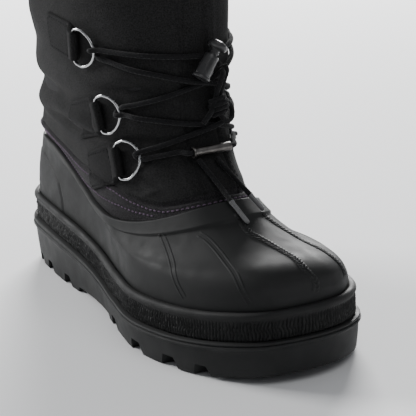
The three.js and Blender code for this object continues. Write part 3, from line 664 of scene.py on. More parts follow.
# ---------------------------------------------------------------- rubber shell
# Traced lines: textured ribs over the vamp, pairs of fine ribs beside them, and the counter's seam.
TOE_RIBS = [
    [(88, -4.4, 76), (96, -4.5, 73), (103, -4.5, 70.8), (110.6, -1, 68), (118, 2, 65), (132.8, 5.4, 61.8),
     (144.3, 6.2, 57), (148, 9, 51), (149, 7, 46)],
    [(88, 13, 77), (92.5, 14.8, 71), (98.4, 18.8, 67), (106.7, 23.7, 62.6), (118, 27.5, 58), (130, 30, 51.5),
     (136.5, 32, 45)],
]
TOE_RIB = {"half": 2.4, "height": 0.85, "stitch": 2.1}
FINE_RIBS = [
    [(64.9, -39.3, 67.7), (85.8, -43.5, 56.2), (102.3, -44.7, 40.6)],
    [(86.2, -27.4, 70.6), (95, -25.5, 68.5), (125.3, -27, 58.9), (138.8, -24.7, 43.4)],
]
FINE_RIB = {"apart": 1.4, "half": 0.75, "height": 0.36}
HEEL_SEAM = [(-117, 74), (-97, 67.6), (-84, 62.4), (-77.5, 53.8), (-76.5, 43), (-77, 32)]
HEEL_PROUD = 0.55
SHELL_SIDES = 760
BAND_FROM = 6.1  # the grid is closer from this level up


def rim_proud(turn, level):
    share = (1 - np.cos(turn)) / 2
    step = smooth((level - RIM_BAND_FOOT + 0.04) / 0.08)
    return RIM_PROUD * smooth((share - 0.1) / 0.3) * step


def heel_panel(points):
    """Height of the counter's panel: it stands proud behind its seam, with a soft groove there."""
    x_at_seam = np.interp(-points[..., 2], [-z for _, z in HEEL_SEAM], [x for x, _ in HEEL_SEAM])
    ahead = points[..., 0] - x_at_seam
    over = points[..., 2] > HEEL_SEAM[0][1]
    panel = HEEL_PROUD * (1 - smooth(ahead / 1.6 + 0.5))
    return np.where(over, 0, panel - 0.35 * hump(ahead - 1.1, 0.9))


class Surface:
    """Nearest places on a surface given by a grid of points and normals."""

    def __init__(self, points, normals):
        self.points, self.normals = points.reshape(-1, 3), normals.reshape(-1, 3)
        self.tree = KDTree(len(self.points))
        for k, point in enumerate(self.points.tolist()):
            self.tree.insert(point, k)
        self.tree.balance()

    def drop(self, places):
        """The places moved onto the surface, and the surface's normals there."""
        flat = np.asarray(places, float).reshape(-1, 3)
        index = np.array([self.tree.find(p)[1] for p in flat.tolist()])
        normals = self.normals[index]
        away = ((flat - self.points[index]) * normals).sum(axis=1)
        shape = np.shape(places)
        return (flat - normals * away[:, None]).reshape(shape), normals.reshape(shape)


def softened(values, passes=3):
    out = values.copy()
    for _ in range(passes):
        out[1:-1] = (out[:-2] + 2 * out[1:-1] + out[2:]) / 4
    return out


def ribbon(surface, line, offsets, height_at, spacing):
    """Rows of points of a strip laid on a surface. height_at gives its height from the place
    across and the distance along the line."""
    centre, normals = surface.drop(smooth_line(line, spacing))
    centre, normals = softened(centre, 12), unit(softened(normals, 12))
    along = unit(np.gradient(centre, axis=0))
    across = unit(np.cross(along, normals))
    run = run_along(centre)
    flat = centre[:, None] + across[:, None] * np.asarray(offsets)[None, :, None]
    on, _ = surface.drop(flat)
    heights = height_at(np.asarray(offsets)[None], run[:, None])
    return on + normals[:, None] * heights[..., None]


def raised_strip(surface, line, offsets, height_at, spacing):
    """Rows of a strip closed by an underside just inside the surface."""
    top = ribbon(surface, line, offsets, height_at, spacing)
    under = ribbon(surface, line, offsets[::-1], lambda across, run: -0.5 + 0 * across * run, spacing)
    return np.concatenate([top, under], axis=1)


def toe_rib_rows(surface, line):
    half = TOE_RIB["half"]
    offsets = np.linspace(-half, half, 17)

    def height_at(across, run):
        total = run.max()
        share = np.abs(across) / half
        body = np.sqrt(np.maximum(0, 1 - share ** 4)) * smooth(run / 3) * smooth((total - run) / 3)
        slant = np.sin(2 * np.pi * (run + np.abs(across) * 0.8) / TOE_RIB["stitch"])
        middle = 0.35 * hump(across, 0.4)
        return body * (TOE_RIB["height"] * (0.78 + 0.26 * slant) - middle) - 0.12

    return raised_strip(surface, line, offsets, height_at, 0.35)


def fine_rib_rows(surface, line, offset):
    half = FINE_RIB["half"]
    offsets = offset + np.linspace(-half, half, 9)

    def height_at(across, run):
        share = (across - offset) / half
        fade = smooth(run / 3) * smooth((run.max() - run) / 3)
        return FINE_RIB["height"] * np.sqrt(np.maximum(0, 1 - share ** 2)) * fade - 0.08

    return raised_strip(surface, line, offsets, height_at, 0.7)


def build_ribs(surface):
    meshes = [capped(f"rib_{k}", toe_rib_rows(surface, line), SHELL) for k, line in enumerate(TOE_RIBS)]
    for k, line in enumerate([*FINE_RIBS, mirrored(FINE_RIBS[0])]):
        for offset in (-FINE_RIB["apart"], FINE_RIB["apart"]):
            meshes.append(capped(f"fine_{k}", fine_rib_rows(surface, line, offset), SHELL))
    add_piece("shell_ribs", joined("shell_ribs", meshes), "shell_rubber")


def build_shell():
    turns = circle(SHELL_SIDES)
    low = np.linspace(0, BAND_FROM, 78, endpoint=False)
    levels = np.concatenate([low, np.linspace(BAND_FROM, RIM - 0.05, 22)])
    turn, level = np.meshgrid(turns, levels)
    points, normals = bare_form(turn, level), form_normal(turn, level)
    heights = rim_proud(turn, level) + heel_panel(points)
    outer = relief(points, normals, heights)
    lip = []
    for part in np.linspace(0, np.pi, 9)[1:-1]:
        outset = mix(rim_proud(turns, RIM), -SHELL_WALL, (1 - math.cos(part)) / 2)
        ring = form_point(turns, np.full_like(turns, RIM - 0.02), outset)
        lip.append(ring + np.array([0, 0, 0.75 * math.sin(part)]))
    inner = [form_point(turns, np.full_like(turns, lv), -SHELL_WALL) for lv in (6.95, 6, 5, 4, 3, 2, 1, 0)]
    rings = np.concatenate([outer, lip, inner])
    add_piece("shell", ring_mesh("shell", rings, [SHELL]), "shell_rubber", "rubber_shell")
    build_ribs(Surface(outer, normals))


build_shell()

# ---------------------------------------------------------------- foxing band
# Section up the band: inset from the sole's edge, height over it, and how much bark texture.
FOXING_ROWS = {
    "inset": [3.6, *[3.4] * 11, 3.5, 3.0, 2.5, 2.15, 2.05, 2.2, 2.6, 3.3, 4.2, 5.2, 6.1],
    "height": [0.1, 0.9, 1.8, 2.7, 3.6, 4.5, 5.4, 6.3, 7.2, 8.1, 9, 9.9, 10.8, 11.7, 12.3, 13, 13.8, 14.6, 15.3, 15.9,
               16.2, 16.15, 15.8],
    "bark": [0.2, 0.7, *[1] * 9, 0.85, 0.4, 0.05, *[0] * 9],
}
FOXING_SIDES = 2200
BARK = {"pitch": 2.1, "depth": 2.1, "seed": 7}


def periodic_noise(rng, count, cells):
    """A smooth random line that closes on itself, from -1 to 1."""
    knots = rng.uniform(-1, 1, cells)
    at = np.arange(count) * cells / count
    i = at.astype(int)
    t = smooth(at - i)
    return mix(knots[i % cells], knots[(i + 1) % cells], t)


def bark_heights(count, rows, reach):
    """Irregular upright ridges that break up into pebbles towards the heel."""
    rng = np.random.default_rng(BARK["seed"])
    cells = round(reach / BARK["pitch"])
    heel = smooth((np.abs(np.arange(count) / count - 0.5) - 0.28) / 0.14)
    slow = periodic_noise(rng, count, cells // 5)
    base = np.arange(count) * cells / count
    out = np.zeros((rows, count))
    breaks = periodic_noise(rng, count, cells * 2)
    for row in range(rows):
        wander = 0.42 * periodic_noise(rng, count, cells // 2) * (0.5 + heel)
        drift = 0.5 * slow * math.sin(row * 0.55) + 0.3 * math.sin(row * 0.9) * breaks
        ridge = np.abs(np.sin(np.pi * (base + wander + drift)))
        pebble = 0.5 + 0.5 * periodic_noise(rng, count, cells)
        out[row] = mix(ridge ** 0.8, pebble, 0.62 * heel + 0.12)
    return out


def build_foxing():
    count = FOXING_SIDES
    turns = circle(count)
    reach = np.linalg.norm(np.diff(raw_outline(turns), axis=0), axis=1).sum()
    # even steps round the outline, so the ridges keep their pitch
    run = run_along(raw_outline(turns))
    turns = np.interp(np.linspace(0, reach, count, endpoint=False), run, turns)
    rows = len(FOXING_ROWS["inset"])
    bark = bark_heights(count, rows, reach)
    rings = []
    for row in range(rows):
        proud = FOXING_ROWS["bark"][row] * BARK["depth"] * (bark[row] - 0.55)
        rings.append(edge_ring(turns, FOXING_ROWS["inset"][row] - proud, FOXING_ROWS["height"][row]))
    for height in (8, 0.1):
        rings.append(edge_ring(turns, SHELL_INSET - GAP, height))
    add_piece("foxing", ring_mesh("foxing", rings, [FOXING]), "foxing_rubber", "foxing_band")


build_foxing()

# ---------------------------------------------------------------- outsole
# Wall rows up from the tread: inset from the edge, and the share of the wall's height.
OUTSOLE_WALL = [
    (3.9, 0), (3.3, 0.015), (3.0, 0.05), (2.6, 0.2), (2.2, 0.35), (1.9, 0.5), (1.6, 0.66), (1.5, 0.76), (1.2, 0.79),
    (0.5, 0.805), (0.1, 0.83), (0, 0.855), (0.25, 0.885), (1.0, 0.9), (1.05, 0.915), (0.5, 0.93), (0.4, 0.955),
    (0.7, 0.985), (1.6, 1.0), (3.3, 1.004), (6.2, 1.0),
]
CLOSING_SHARES = (0.25, 0.6, 0.97)
TREAD_GROOVES = [
    {"x": -127, "width": 11, "sweep": -9},
    {"x": -105, "width": 12, "sweep": -6},
    {"x": -66, "width": 13, "sweep": 6},
    {"x": 24, "width": 14, "sweep": 9},
    {"x": 67, "width": 15, "sweep": 9},
    {"x": 98, "width": 14, "sweep": 9},
    {"x": 121, "width": 11, "sweep": 10},
]
ARCH = {"from": -55, "to": 6, "depth": 9, "inner": 17}


def closed_over(edge):
    """A stack of edge rings with rings drawn in over its foot and its top."""
    foot = [toward_middle(edge[0], share) for share in CLOSING_SHARES[::-1]]
    return foot + edge + [toward_middle(edge[-1], share) for share in CLOSING_SHARES]


def groove_cutter(x, width, sweep):
    reach = BALL_WIDTH / 2 + 8
    rings = []
    for y in (-reach, 0, reach):
        middle = x - sweep * abs(y) / reach
        rings.append([
            (middle - width / 2 - 0.6, y, -2), (middle + width / 2 + 0.6, y, -2),
            (middle + width / 3.4, y, LUG_DEPTH), (middle - width / 3.4, y, LUG_DEPTH),
        ])
    return capped("groove", rings, SOLE)


def arch_cutter():
    outer, inner = BALL_WIDTH / 2 + 8, ARCH["inner"]
    rows = [(-outer, ARCH_LIFT), (-inner - 8, ARCH_LIFT), (-inner, ARCH["depth"]),
            (inner, ARCH["depth"]), (inner + 8, ARCH_LIFT), (outer, ARCH_LIFT)]
    start, end = ARCH["from"], ARCH["to"]
    return capped("arch", [
        [(start, y, -2), (end, y, -2), (end - depth, y, depth), (start + depth, y, depth)] for y, depth in rows
    ], SOLE)


def cut_from(mesh, cutters):
    """The mesh with each cutter taken away."""
    work = bpy.data.objects.new("work", mesh)
    bpy.context.scene.collection.objects.link(work)
    made = []
    for cutter in cutters:
        tool = bpy.data.objects.new("tool", cutter)
        bpy.context.scene.collection.objects.link(tool)
        boolean = work.modifiers.new("cut", "BOOLEAN")
        boolean.operation = "DIFFERENCE"
        boolean.solver = "EXACT"
        boolean.object = tool
        made.append(tool)
    bpy.context.view_layer.update()
    result = bpy.data.meshes.new_from_object(work.evaluated_get(bpy.context.evaluated_depsgraph_get()))
    for thing in (work, *made):
        old = thing.data
        bpy.data.objects.remove(thing)
        bpy.data.meshes.remove(old)
    return result


def sharpen(mesh, degrees):
    """Faces that meet at less than the given angle shade as one surface."""
    mesh.polygons.foreach_set("use_smooth", [True] * len(mesh.polygons))
    mesh.set_sharp_from_angle(angle=math.radians(degrees))


def build_outsole():
    turns = circle(420)
    wall = []
    for inset, share in OUTSOLE_WALL:
        ring = edge_ring(turns, float(inset), 0)
        ring[:, 2] = mix(tread_height(ring[:, 0]), ring[:, 2], share)
        wall.append(ring)
    rings = closed_over(wall)
    for ring in rings[: len(CLOSING_SHARES)]:
        ring[:, 2] = tread_height(ring[:, 0])
    mesh = capped("outsole_look", rings, SOLE)
    cutters = [groove_cutter(**groove) for groove in TREAD_GROOVES]
    mesh = cut_from(mesh, [*cutters, arch_cutter()])
    sharpen(mesh, 32)
    add_piece("outsole_look", mesh, "sole_rubber", "outsole")


build_outsole()


# ---------------------------------------------------------------- insole
def build_insole():
    turns = circle(260)
    inset = SHELL_INSET + SHELL_WALL + GAP + 0.3
    rows = [(0.8, 0), (0, 1), (0, 4), (0.8, 4.8), (2.5, 5), (8, 4.6), (14, 4.3)]
    edge = [edge_ring(turns, inset + extra, GAP + height) for extra, height in rows]
    add_piece("insole_look", capped("insole_look", closed_over(edge), FELT), "felt", "insole")


build_insole()

# ---------------------------------------------------------------- cloth shaft
# Creases and bulges: degrees round from the front (lateral side negative),
# height, how far each runs in degrees, its width in millimetres, its rise a degree, and its
# height, below zero for a trough.
FOLDS = {
    "turn": [-85, -84, -120, -122, -122, -118, -118, -116, -112, -44, -38, -36, -41, -37, -40, -36,
             88, 86, 122, 122, 120, 118, 46, 40, 44, -146, -150, 148, 0, -160, 160],
    "z": [110, 118.5, 114, 104, 95, 127, 142, 156, 176, 150, 125, 97, 141, 113, 85, 90,
          112, 120, 115, 104, 127, 145, 148, 122, 136, 110, 132, 118, 150, 92, 95],
    "reach": [27, 25, 21, 19, 20, 24, 22, 20, 26, 15, 13, 13, 17, 15, 7, 6,
              28, 26, 22, 20, 24, 24, 15, 13, 16, 14, 16, 18, 12, 20, 20],
    "width": [3.4, 4.6, 5.5, 3.2, 6.5, 5.5, 7, 4.5, 12, 6.5, 6, 6, 2.8, 2.6, 1.6, 1.8,
              4.5, 5.5, 6.5, 4, 6, 8, 8.5, 7.5, 3, 5, 6, 5.5, 18, 4, 4.5],
    "lean": [-0.06, -0.06, -0.04, 0, 0.03, 0.04, 0.05, 0.08, 0, 0.08, 0.05, 0.1, 0.12, 0.1, 0.5, -0.4,
             0.05, 0.05, 0, 0.05, -0.05, 0, -0.08, -0.05, -0.1, 0.1, -0.1, 0.08, 0, 0.05, -0.05],
    "depth": [-4.2, 3.2, 2.6, -0.8, 1.6, -4.8, 1.2, -0.6, 2.2, 3.4, 3.2, 2.2, -2.2, -2.2, 0.9, -0.8,
              -2.2, 1.7, 2, -1.0, -3, 1.5, 1.8, 1.8, -1.1, 1.0, -1.0, -1.0, -0.9, 0.8, 0.8],
}
FOLDS_HELD = 14  # the fold dies away over this height above the rim
# The edge strip's height over the rim by degrees from the front, traced on one side and mirrored.
STRIP_HEIGHT = {
    "turn": [10, 26, 36, 43, 52, 59, 67, 76, 88, 98, 110, 125, 180],
    "height": [3.6, 4.1, 4.8, 7.1, 11.8, 16.4, 19.1, 20.4, 20.8, 18.5, 13.8, 11.4, 10.5],
}
STRIP_PROUD = 0.95
HEM = {"foot": 236, "step": 0.7}
# The two front seams: how far across they are at each height. The lower values are traced.
SEAM_HEIGHTS = [78, 86, 102.6, 126, 165, 190, 262]
FRONT_SEAMS = [
    [-13.8, -13.6, -13.1, -11, -8.3, -7.1, -6.8],
    [8.2, 8.6, 8.4, 7, 4.8, 5.5, 5.6],
]


def from_front(turn):
    """Degrees round from the front, below zero on the lateral side."""
    return np.degrees(np.mod(turn, 2 * np.pi) - np.pi)


def rim_height(turn):
    return bare_form(turn, np.full(np.shape(turn), float(RIM)))[..., 2]


def level_at(turn, z):
    """The level of the form at which a turn reaches a height."""
    turn, z = np.broadcast_arrays(turn, z)
    return halve(turn.shape, SHAFT_FOOT, COLLAR, lambda level: bare_form(turn, level)[..., 2] < z, 22)


def strip_at(degrees):
    turns, heights = STRIP_HEIGHT["turn"], STRIP_HEIGHT["height"]
    return np.interp(degrees, [-turn for turn in turns[::-1]] + turns, heights[::-1] + heights)


def strip_height(turn):
    return strip_at(from_front(turn))


def shaft_outset(level):
    return mix(-SHELL_WALL - GAP - 0.1, 0, smooth((level - RIM - 0.15) / 0.9))


def fold_heights(degrees, z):
    heights = np.zeros(np.shape(degrees))
    for turn, at, reach, width, lean, depth in zip(*FOLDS.values()):
        round_gap = np.mod(degrees - turn + 180, 360) - 180
        heights += depth * hump(round_gap, reach) * hump(z - at - lean * round_gap, width)
    wave = np.sin(np.radians(degrees) * 3 + z / 15) * np.sin(z / 21 + np.radians(degrees) * 2)
    return heights + 0.55 * wave


def ring_dents(points):
    """Cloth pressed in where the lace passes between each ring and the shaft."""
    heights = np.zeros(points.shape[:-1])
    for middle in RING_DENTS:
        heights -= 2.3 * hump(np.linalg.norm(points - middle, axis=-1), 5.0)
    return heights


def cloth_height(turn, level):
    """How far the cloth's face is off the bare form."""
    points = bare_form(turn, level)
    z = points[..., 2]
    over_rim = z - rim_height(turn)
    degrees = from_front(turn)
    held = smooth((over_rim - 1) / FOLDS_HELD) * (1 - 0.75 * smooth((z - 222) / 20))
    heights = fold_heights(degrees, z) * held + ring_dents(points)
    return heights + shaft_outset(level)


def sewn_height(turn, level):
    """The edge strip, the hem and the front seams, on top of the cloth."""
    points = bare_form(turn, level)
    z = points[..., 2]
    over_rim = z - rim_height(turn)
    strip = STRIP_PROUD * (1 - smooth((over_rim - strip_height(turn)) / 0.8 + 0.5))
    crease = -1.1 * hump(over_rim - strip_height(turn) - 1.0, 0.8)
    inside = 1 - smooth((over_rim - 0.2) / 0.8 + 0.5)
    hem = HEM["step"] * smooth((z - HEM["foot"]) / 1.0 + 0.5)
    heights = (strip + crease) * (1 - inside) + hem
    for seam in FRONT_SEAMS:
        away = points[..., 1] - np.interp(z, SEAM_HEIGHTS, seam)
        out = np.sign(np.mean(seam))
        ahead = smooth((points[..., 0] - 20) / 6) * (1 - smooth((over_rim - strip_height(turn)) / -1.0 + 0.5))
        heights += ahead * (0.5 * smooth(away * out / 0.7 + 0.5) * (1 - smooth((away * out - 6) / 3)))
        heights -= ahead * 0.8 * hump(away, 0.7)
    return heights


def cloth_point(turn, level, outset=0.0):
    """A point over the cloth as it lies, folds and all."""
    turn, level = np.broadcast_arrays(np.asarray(turn, float), np.asarray(level, float))
    height = cloth_height(turn, level) + sewn_height(turn, level)
    return form_point(turn, level, height + outset)


def cloth_normal(turn, level):
    around = cloth_point(turn + 0.008, level) - cloth_point(turn - 0.008, level)
    up = cloth_point(turn, np.minimum(COLLAR, level + 0.04)) - cloth_point(turn, level - 0.04)
    return unit(np.cross(around, up))


# ---------------------------------------------------------------- places of the D-rings
D_RINGS = {
    "upper": {-1: -9.5, 1: -9, "z": 163, "lean": -0.14},
    "middle": {-1: 6, 1: -2, "z": 124, "lean": 0.25},
    "lower": {-1: 21, 1: 8, "z": 99, "lean": 0.38},
}
SIDES = {"lateral": -1, "medial": 1}
WIRE_RADIUS = 0.88
RING_REACH = 17.5
RING_HALF = 11.5
BAR_HALF = 9
RING_TILT = -0.12
BAR_OUTSET = 3.5
TAB_LENGTH = 36
TAB_HALF = 11.5
TAB_THICKNESS = 1.5
SLEEVE_RADIUS = 2.6
SLEEVE_HALF = 8.4
LACE_OUTSET = 2.7
STRAND_START = 20.9
STRAND_SPREAD = 2.3


class RingFrame:
    """A ring's place: the middle of its bar, and the directions forward, up and out."""

    def __init__(self, name, side):
        row = D_RINGS[name]
        self.side = side
        self.turn, self.level = place_on(side, row[side], row["z"])
        self.origin = bare_form(self.turn, self.level)
        self.out = form_normal(self.turn, self.level)
        ahead = unit(np.array([1.0, 0, 0]) - self.out * self.out[0])
        lean = -side * row["lean"]
        self.forward = ahead * math.cos(lean) + np.cross(self.out, ahead) * math.sin(lean)
        self.up = np.cross(self.out, self.forward) * -side

    def at(self, forward, up, out):
        ways = zip((forward, up, out), (self.forward, self.up, self.out))
        return self.origin + sum(np.asarray(step, float)[..., None] * way for step, way in ways)

    def on_ring(self, forward, up, out=0.0):
        """A point of the ring's own plane, and out off that plane."""
        tilt_cos, tilt_sin = math.cos(RING_TILT), math.sin(RING_TILT)
        return self.at(forward * tilt_cos - out * tilt_sin, up, BAR_OUTSET + forward * tilt_sin + out * tilt_cos)


RINGS = {(side_name, name): RingFrame(name, side) for side_name, side in SIDES.items() for name in D_RINGS}
RING_DENTS = [ring.on_ring(RING_REACH - 1.0, 0.0, -1.4) for ring in RINGS.values()]


# ---------------------------------------------------------------- shaft mesh
SHAFT_SIDES = 470
FINE_UP_TO = 8.6  # the grid is closer up to this level


def build_shaft():
    turns = circle(SHAFT_SIDES)
    near_rim = np.linspace(6.95, FINE_UP_TO, 46, endpoint=False)
    levels = np.concatenate([[SHAFT_FOOT, 6.2, 6.7], near_rim, np.linspace(FINE_UP_TO, COLLAR, 92)])
    turn, level = np.meshgrid(turns, levels)
    outer = cloth_point(turn, level)
    over_rim = outer[..., 2] - rim_height(turn)
    slots = np.where(over_rim < strip_height(turn) + 0.4, 1, 0)
    lip = []
    for part in np.linspace(0, np.pi, 9)[1:-1]:
        outset = mix(HEM["step"], -SHAFT_WALL, (1 - math.cos(part)) / 2)
        base = cloth_point(turns, np.full(SHAFT_SIDES, float(COLLAR)), outset - HEM["step"])
        lip.append(base + np.array([0, 0, 1.1 * math.sin(part)]))
    inner_levels = [14.95, 14.2, 13.4, 12.6, 11.8, 11, 10.2, 9.6, 9, 8.4, 7.9, 7.4, 7, 6.4, SHAFT_FOOT]
    inner_turn, inner_level = np.meshgrid(turns, inner_levels)
    soft = 0.35 * np.sin(7 * inner_turn + inner_level * 3) * np.sin(inner_level * 2)
    lining = cloth_height(inner_turn, inner_level) * 0.9 - SHAFT_WALL + soft
    inner = form_point(inner_turn, inner_level, lining - 0.1 * np.abs(shaft_outset(inner_level)))
    rings = np.concatenate([outer, lip, inner])
    row_slots = np.zeros((len(rings), SHAFT_SIDES), int)
    row_slots[: len(levels)] = slots
    row_slots[len(levels) + 4:] = 2
    mesh = ring_mesh("shaft_look", rings, [CLOTH, STRIP, LINING])
    mesh.polygons.foreach_set("material_index", row_slots.ravel())
    add_piece("shaft_look", mesh, "cloth", "shaft")


build_shaft()

# ---------------------------------------------------------------- stitches
def along_line(line, pitch):
    """Middles and directions of stitches at an even pitch along a line."""
    run = run_along(line)
    at = np.arange(pitch / 2, run[-1], pitch)
    ahead, behind = at_distance(at + 0.5, run, line), at_distance(at - 0.5, run, line)
    return at_distance(at, run, line), unit(ahead - behind + 1e-9), at / run[-1], run / run[-1]


def add_stitches(name, lines, material, length, pitch, radius):
    """One mesh of short bent threads along lines; a line comes with its outward directions."""
    points, faces = [], []
    steps, sides = 5, 6
    turn = circle(sides)
    profile = [(-0.5, 0.35, -0.5), (-0.3, 0.95, 0.0), (0, 1.0, 0.25), (0.3, 0.95, 0.0), (0.5, 0.35, -0.5)]
    for line, out in lines:
        middles, along, at, run = along_line(line, pitch)
        for middle, ahead, up in zip(middles, along, unit(at_distance(at, run, out))):
            side = unit(np.cross(ahead, up))
            base = len(points)
            for share, size, lift in profile:
                ring = middle + ahead * share * length + up * lift * radius
                for t in turn:
                    points.append(ring + (side * math.cos(t) + up * 0.8 * math.sin(t)) * radius * size)
            for r in range(steps - 1):
                for k in range(sides):
                    a, b = base + r * sides + k, base + r * sides + (k + 1) % sides
                    faces.append([a, b, b + sides, a + sides])
            faces.append([base + k for k in range(sides)][::-1])
            faces.append([base + (steps - 1) * sides + k for k in range(sides)])
    faces, _ = turned_out(points, faces)
    add_piece(name, mesh_from(name, points, faces, [material]), "cloth")


def rim_line(degrees, over_rim):
    """A line round the cloth at heights above the rim, with its outward directions."""
    turn = np.radians(np.asarray(degrees, float)) + np.pi
    level = level_at(turn, rim_height(turn) + over_rim)
    return cloth_point(turn, level, 0.1), cloth_normal(turn, level)


def sew_shaft():
    whole = np.linspace(-178, 178, 700)
    sides = [np.linspace(-178, -41, 300), np.linspace(41, 178, 300)]
    lines = [rim_line(whole, strip_at(whole) - 1.7)]
    lines += [rim_line(part, strip_at(part) * 0.53 - 1.2) for part in sides]
    add_stitches("strip_stitches", lines, THREAD_MAUVE, length=2.1, pitch=3.2, radius=0.46)
    front = np.linspace(-52, 50, 260)
    hem_turn = np.linspace(0, 2 * np.pi, 700)
    hem_level = level_at(hem_turn, HEM["foot"] + 1.8)
    dark = [
        rim_line(front, strip_at(front) + 2.6),
        (cloth_point(hem_turn, hem_level, 0.1), cloth_normal(hem_turn, hem_level)),
    ]
    heights = np.linspace(84, 236, 160)
    for seam in FRONT_SEAMS:
        across = np.interp(heights, SEAM_HEIGHTS, seam) + np.sign(np.mean(seam)) * 2.2
        turn, level = place_on_front(across, heights)
        dark.append((cloth_point(turn, level, 0.08), cloth_normal(turn, level)))
    add_stitches("cloth_stitches", dark, THREAD_DARK, length=1.9, pitch=2.9, radius=0.3)


def place_on_front(y, z):
    """Turn and level of places on the front of the shaft, from how far across and how high."""
    y, z = np.broadcast_arrays(np.asarray(y, float), np.asarray(z, float))
    turn = np.full(y.shape, np.pi)
    for _ in range(4):
        level = level_at(turn, z)
        turn = halve(y.shape, np.pi / 2, 3 * np.pi / 2, lambda a: bare_form(a, level)[..., 1] < y)
    return turn, level_at(turn, z)


sew_shaft()


# ---------------------------------------------------------------- tabs
def tab_profile():
    """The tab's fold round the bar, as places forward and out."""
    sleeve = []
    for degrees in range(110, -151, -20):
        t = math.radians(degrees)
        sleeve.append((SLEEVE_RADIUS * math.cos(t), BAR_OUTSET + SLEEVE_RADIUS * math.sin(t)))
    return sleeve


def tab_half_at(f):
    """Half the tab's width at a place forward, with its back corners rounded."""
    corner = 3.2 * (1 - math.sqrt(max(0.0, 1 - clamp01((-f - TAB_LENGTH + 4) / 4) ** 2)))
    return mix(SLEEVE_HALF, TAB_HALF, smooth(-f / 9)) - corner


def build_tab(side_name, name):
    ring = RINGS[side_name, name]
    sleeve = tab_profile()
    back_edge = [-TAB_LENGTH, -TAB_LENGTH + 0.25, -TAB_LENGTH + 0.8]
    backs = np.concatenate([back_edge, np.linspace(-TAB_LENGTH + 1.8, -3.4, 24)])
    lifts = np.concatenate([[0.35, 0.8, 1.0], np.ones(24)]) * TAB_THICKNESS
    shares = np.concatenate([[-1, -0.985, -0.95], np.linspace(-0.88, 0.88, 25), [0.95, 0.985, 1]])
    rings = []
    for share in shares:
        edge = math.sqrt(max(0.0, 1 - clamp01((abs(share) - 0.93) / 0.07) ** 2))
        top = np.array([ring.at(f, share * tab_half_at(f), 0) for f in backs])
        turn, level = place_on(ring.side, top[:, 0], top[:, 2])
        seam = 0.28 * hump(backs + 6.6, 0.5) + 0.28 * hump(backs + 9.4, 0.5)
        side_seam = 0.22 * hump((1 - abs(share)) * TAB_HALF - 2.4, 0.7)
        upper = cloth_point(turn, level, lifts * edge - seam - side_seam)
        lower = cloth_point(turn, level, np.full(len(backs), -0.5 * edge))
        if abs(share) < 1:
            blend = smooth((backs + 9) / 5.6)[:, None]
            lift = BAR_OUTSET + SLEEVE_RADIUS * 0.92
            sleeve_top = np.array([ring.at(f, share * SLEEVE_HALF, lift) for f in backs])
            upper = mix(upper, sleeve_top, blend * 0.8)
        shrink = 0.0 if abs(share) == 1 else 0.78 + 0.22 * edge
        wrap = np.array([
            ring.at(f * shrink, share * SLEEVE_HALF, BAR_OUTSET + (o - BAR_OUTSET) * shrink) for f, o in sleeve
        ])
        rings.append(np.vstack([upper, wrap, lower[::-1]]))
    mesh = welded(ring_mesh(f"tab_{side_name}_{name}_look", rings, [TAB], loop=False), 0.02 * MM)
    add_piece(mesh.name, mesh, "tab_cloth", f"tab_{side_name}_{name}")
    return tab_stitch_lines(ring)


def tab_stitch_lines(ring):
    """Rows along the tab's edges and a double row behind the sleeve."""
    inset = 2.4
    half = TAB_HALF - inset
    back = -TAB_LENGTH + inset
    paths = [
        [(-9.4, half), (back + 2, half), (back, half - 2), (back, 2 - half), (back + 2, -half), (-9.4, -half)],
        [(-9.4, half), (-9.4, -half)],
        [(-6.6, half - 0.4), (-6.6, 0.4 - half)],
    ]
    out = []
    for path in paths:
        flat = np.array([(f, u, 0) for f, u in path], float)
        steps = [np.linspace(a, b, 14, endpoint=False) for a, b in zip(flat[:-1], flat[1:])]
        dense = np.vstack([*steps, flat[-1:]])
        spots = np.array([ring.at(f, u, 0) for f, u, _ in dense])
        turn, level = place_on(ring.side, spots[:, 0], spots[:, 2])
        out.append((cloth_point(turn, level, TAB_THICKNESS - 0.12), cloth_normal(turn, level)))
    return out


# ---------------------------------------------------------------- D-rings
def build_ring(side_name, name):
    ring = RINGS[side_name, name]
    flat = [(0, 0.6 - BAR_HALF), (0, -BAR_HALF / 3), (0, BAR_HALF / 3), (0, BAR_HALF - 0.6), (0.9, BAR_HALF + 0.8)]
    for degrees in range(72, -73, -9):
        t = math.radians(degrees)
        flat.append((1.5 + (RING_REACH - 1.5) * math.cos(t), RING_HALF * math.sin(t)))
    flat.append((0.9, -BAR_HALF - 0.8))
    line = np.array([ring.on_ring(f, u) for f, u in flat])
    loop = smooth_line(np.vstack([line, line[:1]]), 0.8)[:-1]
    rings = tube_rings(loop, WIRE_RADIUS, 16, closed=True)
    mesh = ring_mesh(f"d_ring_{side_name}_{name}_look", rings, [STEEL])
    add_piece(mesh.name, mesh, "ring_steel", f"d_ring_{side_name}_{name}")


def build_hardware():
    lines = []
    for side_name, name in RINGS:
        lines += build_tab(side_name, name)
        build_ring(side_name, name)
    add_stitches("tab_stitches", lines, THREAD_DARK, length=2.0, pitch=2.9, radius=0.32)


build_hardware()

# ---------------------------------------------------------------- lace
TUBE = {"x": 59.4, "z": 107.6, "from": -13.4, "to": 10.6}
LOCK_ENDS = {"lateral": (50.2, 0.2, 158.4), "medial": (46.6, 15.6, 159.6)}
IN_LOCK = [(53.0, 7.6, 155.6), (55.4, 9.4, 152.6)]
FRONT_SHARES = (0.05, 0.1, 0.18, 0.28, 0.38, 0.46, 0.54, 0.62, 0.72, 0.82, 0.9, 0.95)
BASE_SHARES = (0.05, 0.12, 0.22, 0.78, 0.88, 0.95)
TOP_SHARES = (0.12, 0.28, 0.45, 0.6, 0.75, 0.88)
CROSS_LIFT = 2.9


def ring_on(side, name):
    return RINGS["lateral" if side < 0 else "medial", name]


def strand_start(name, side, spread):
    return ring_on(side, name).on_ring(STRAND_START, spread * STRAND_SPREAD)


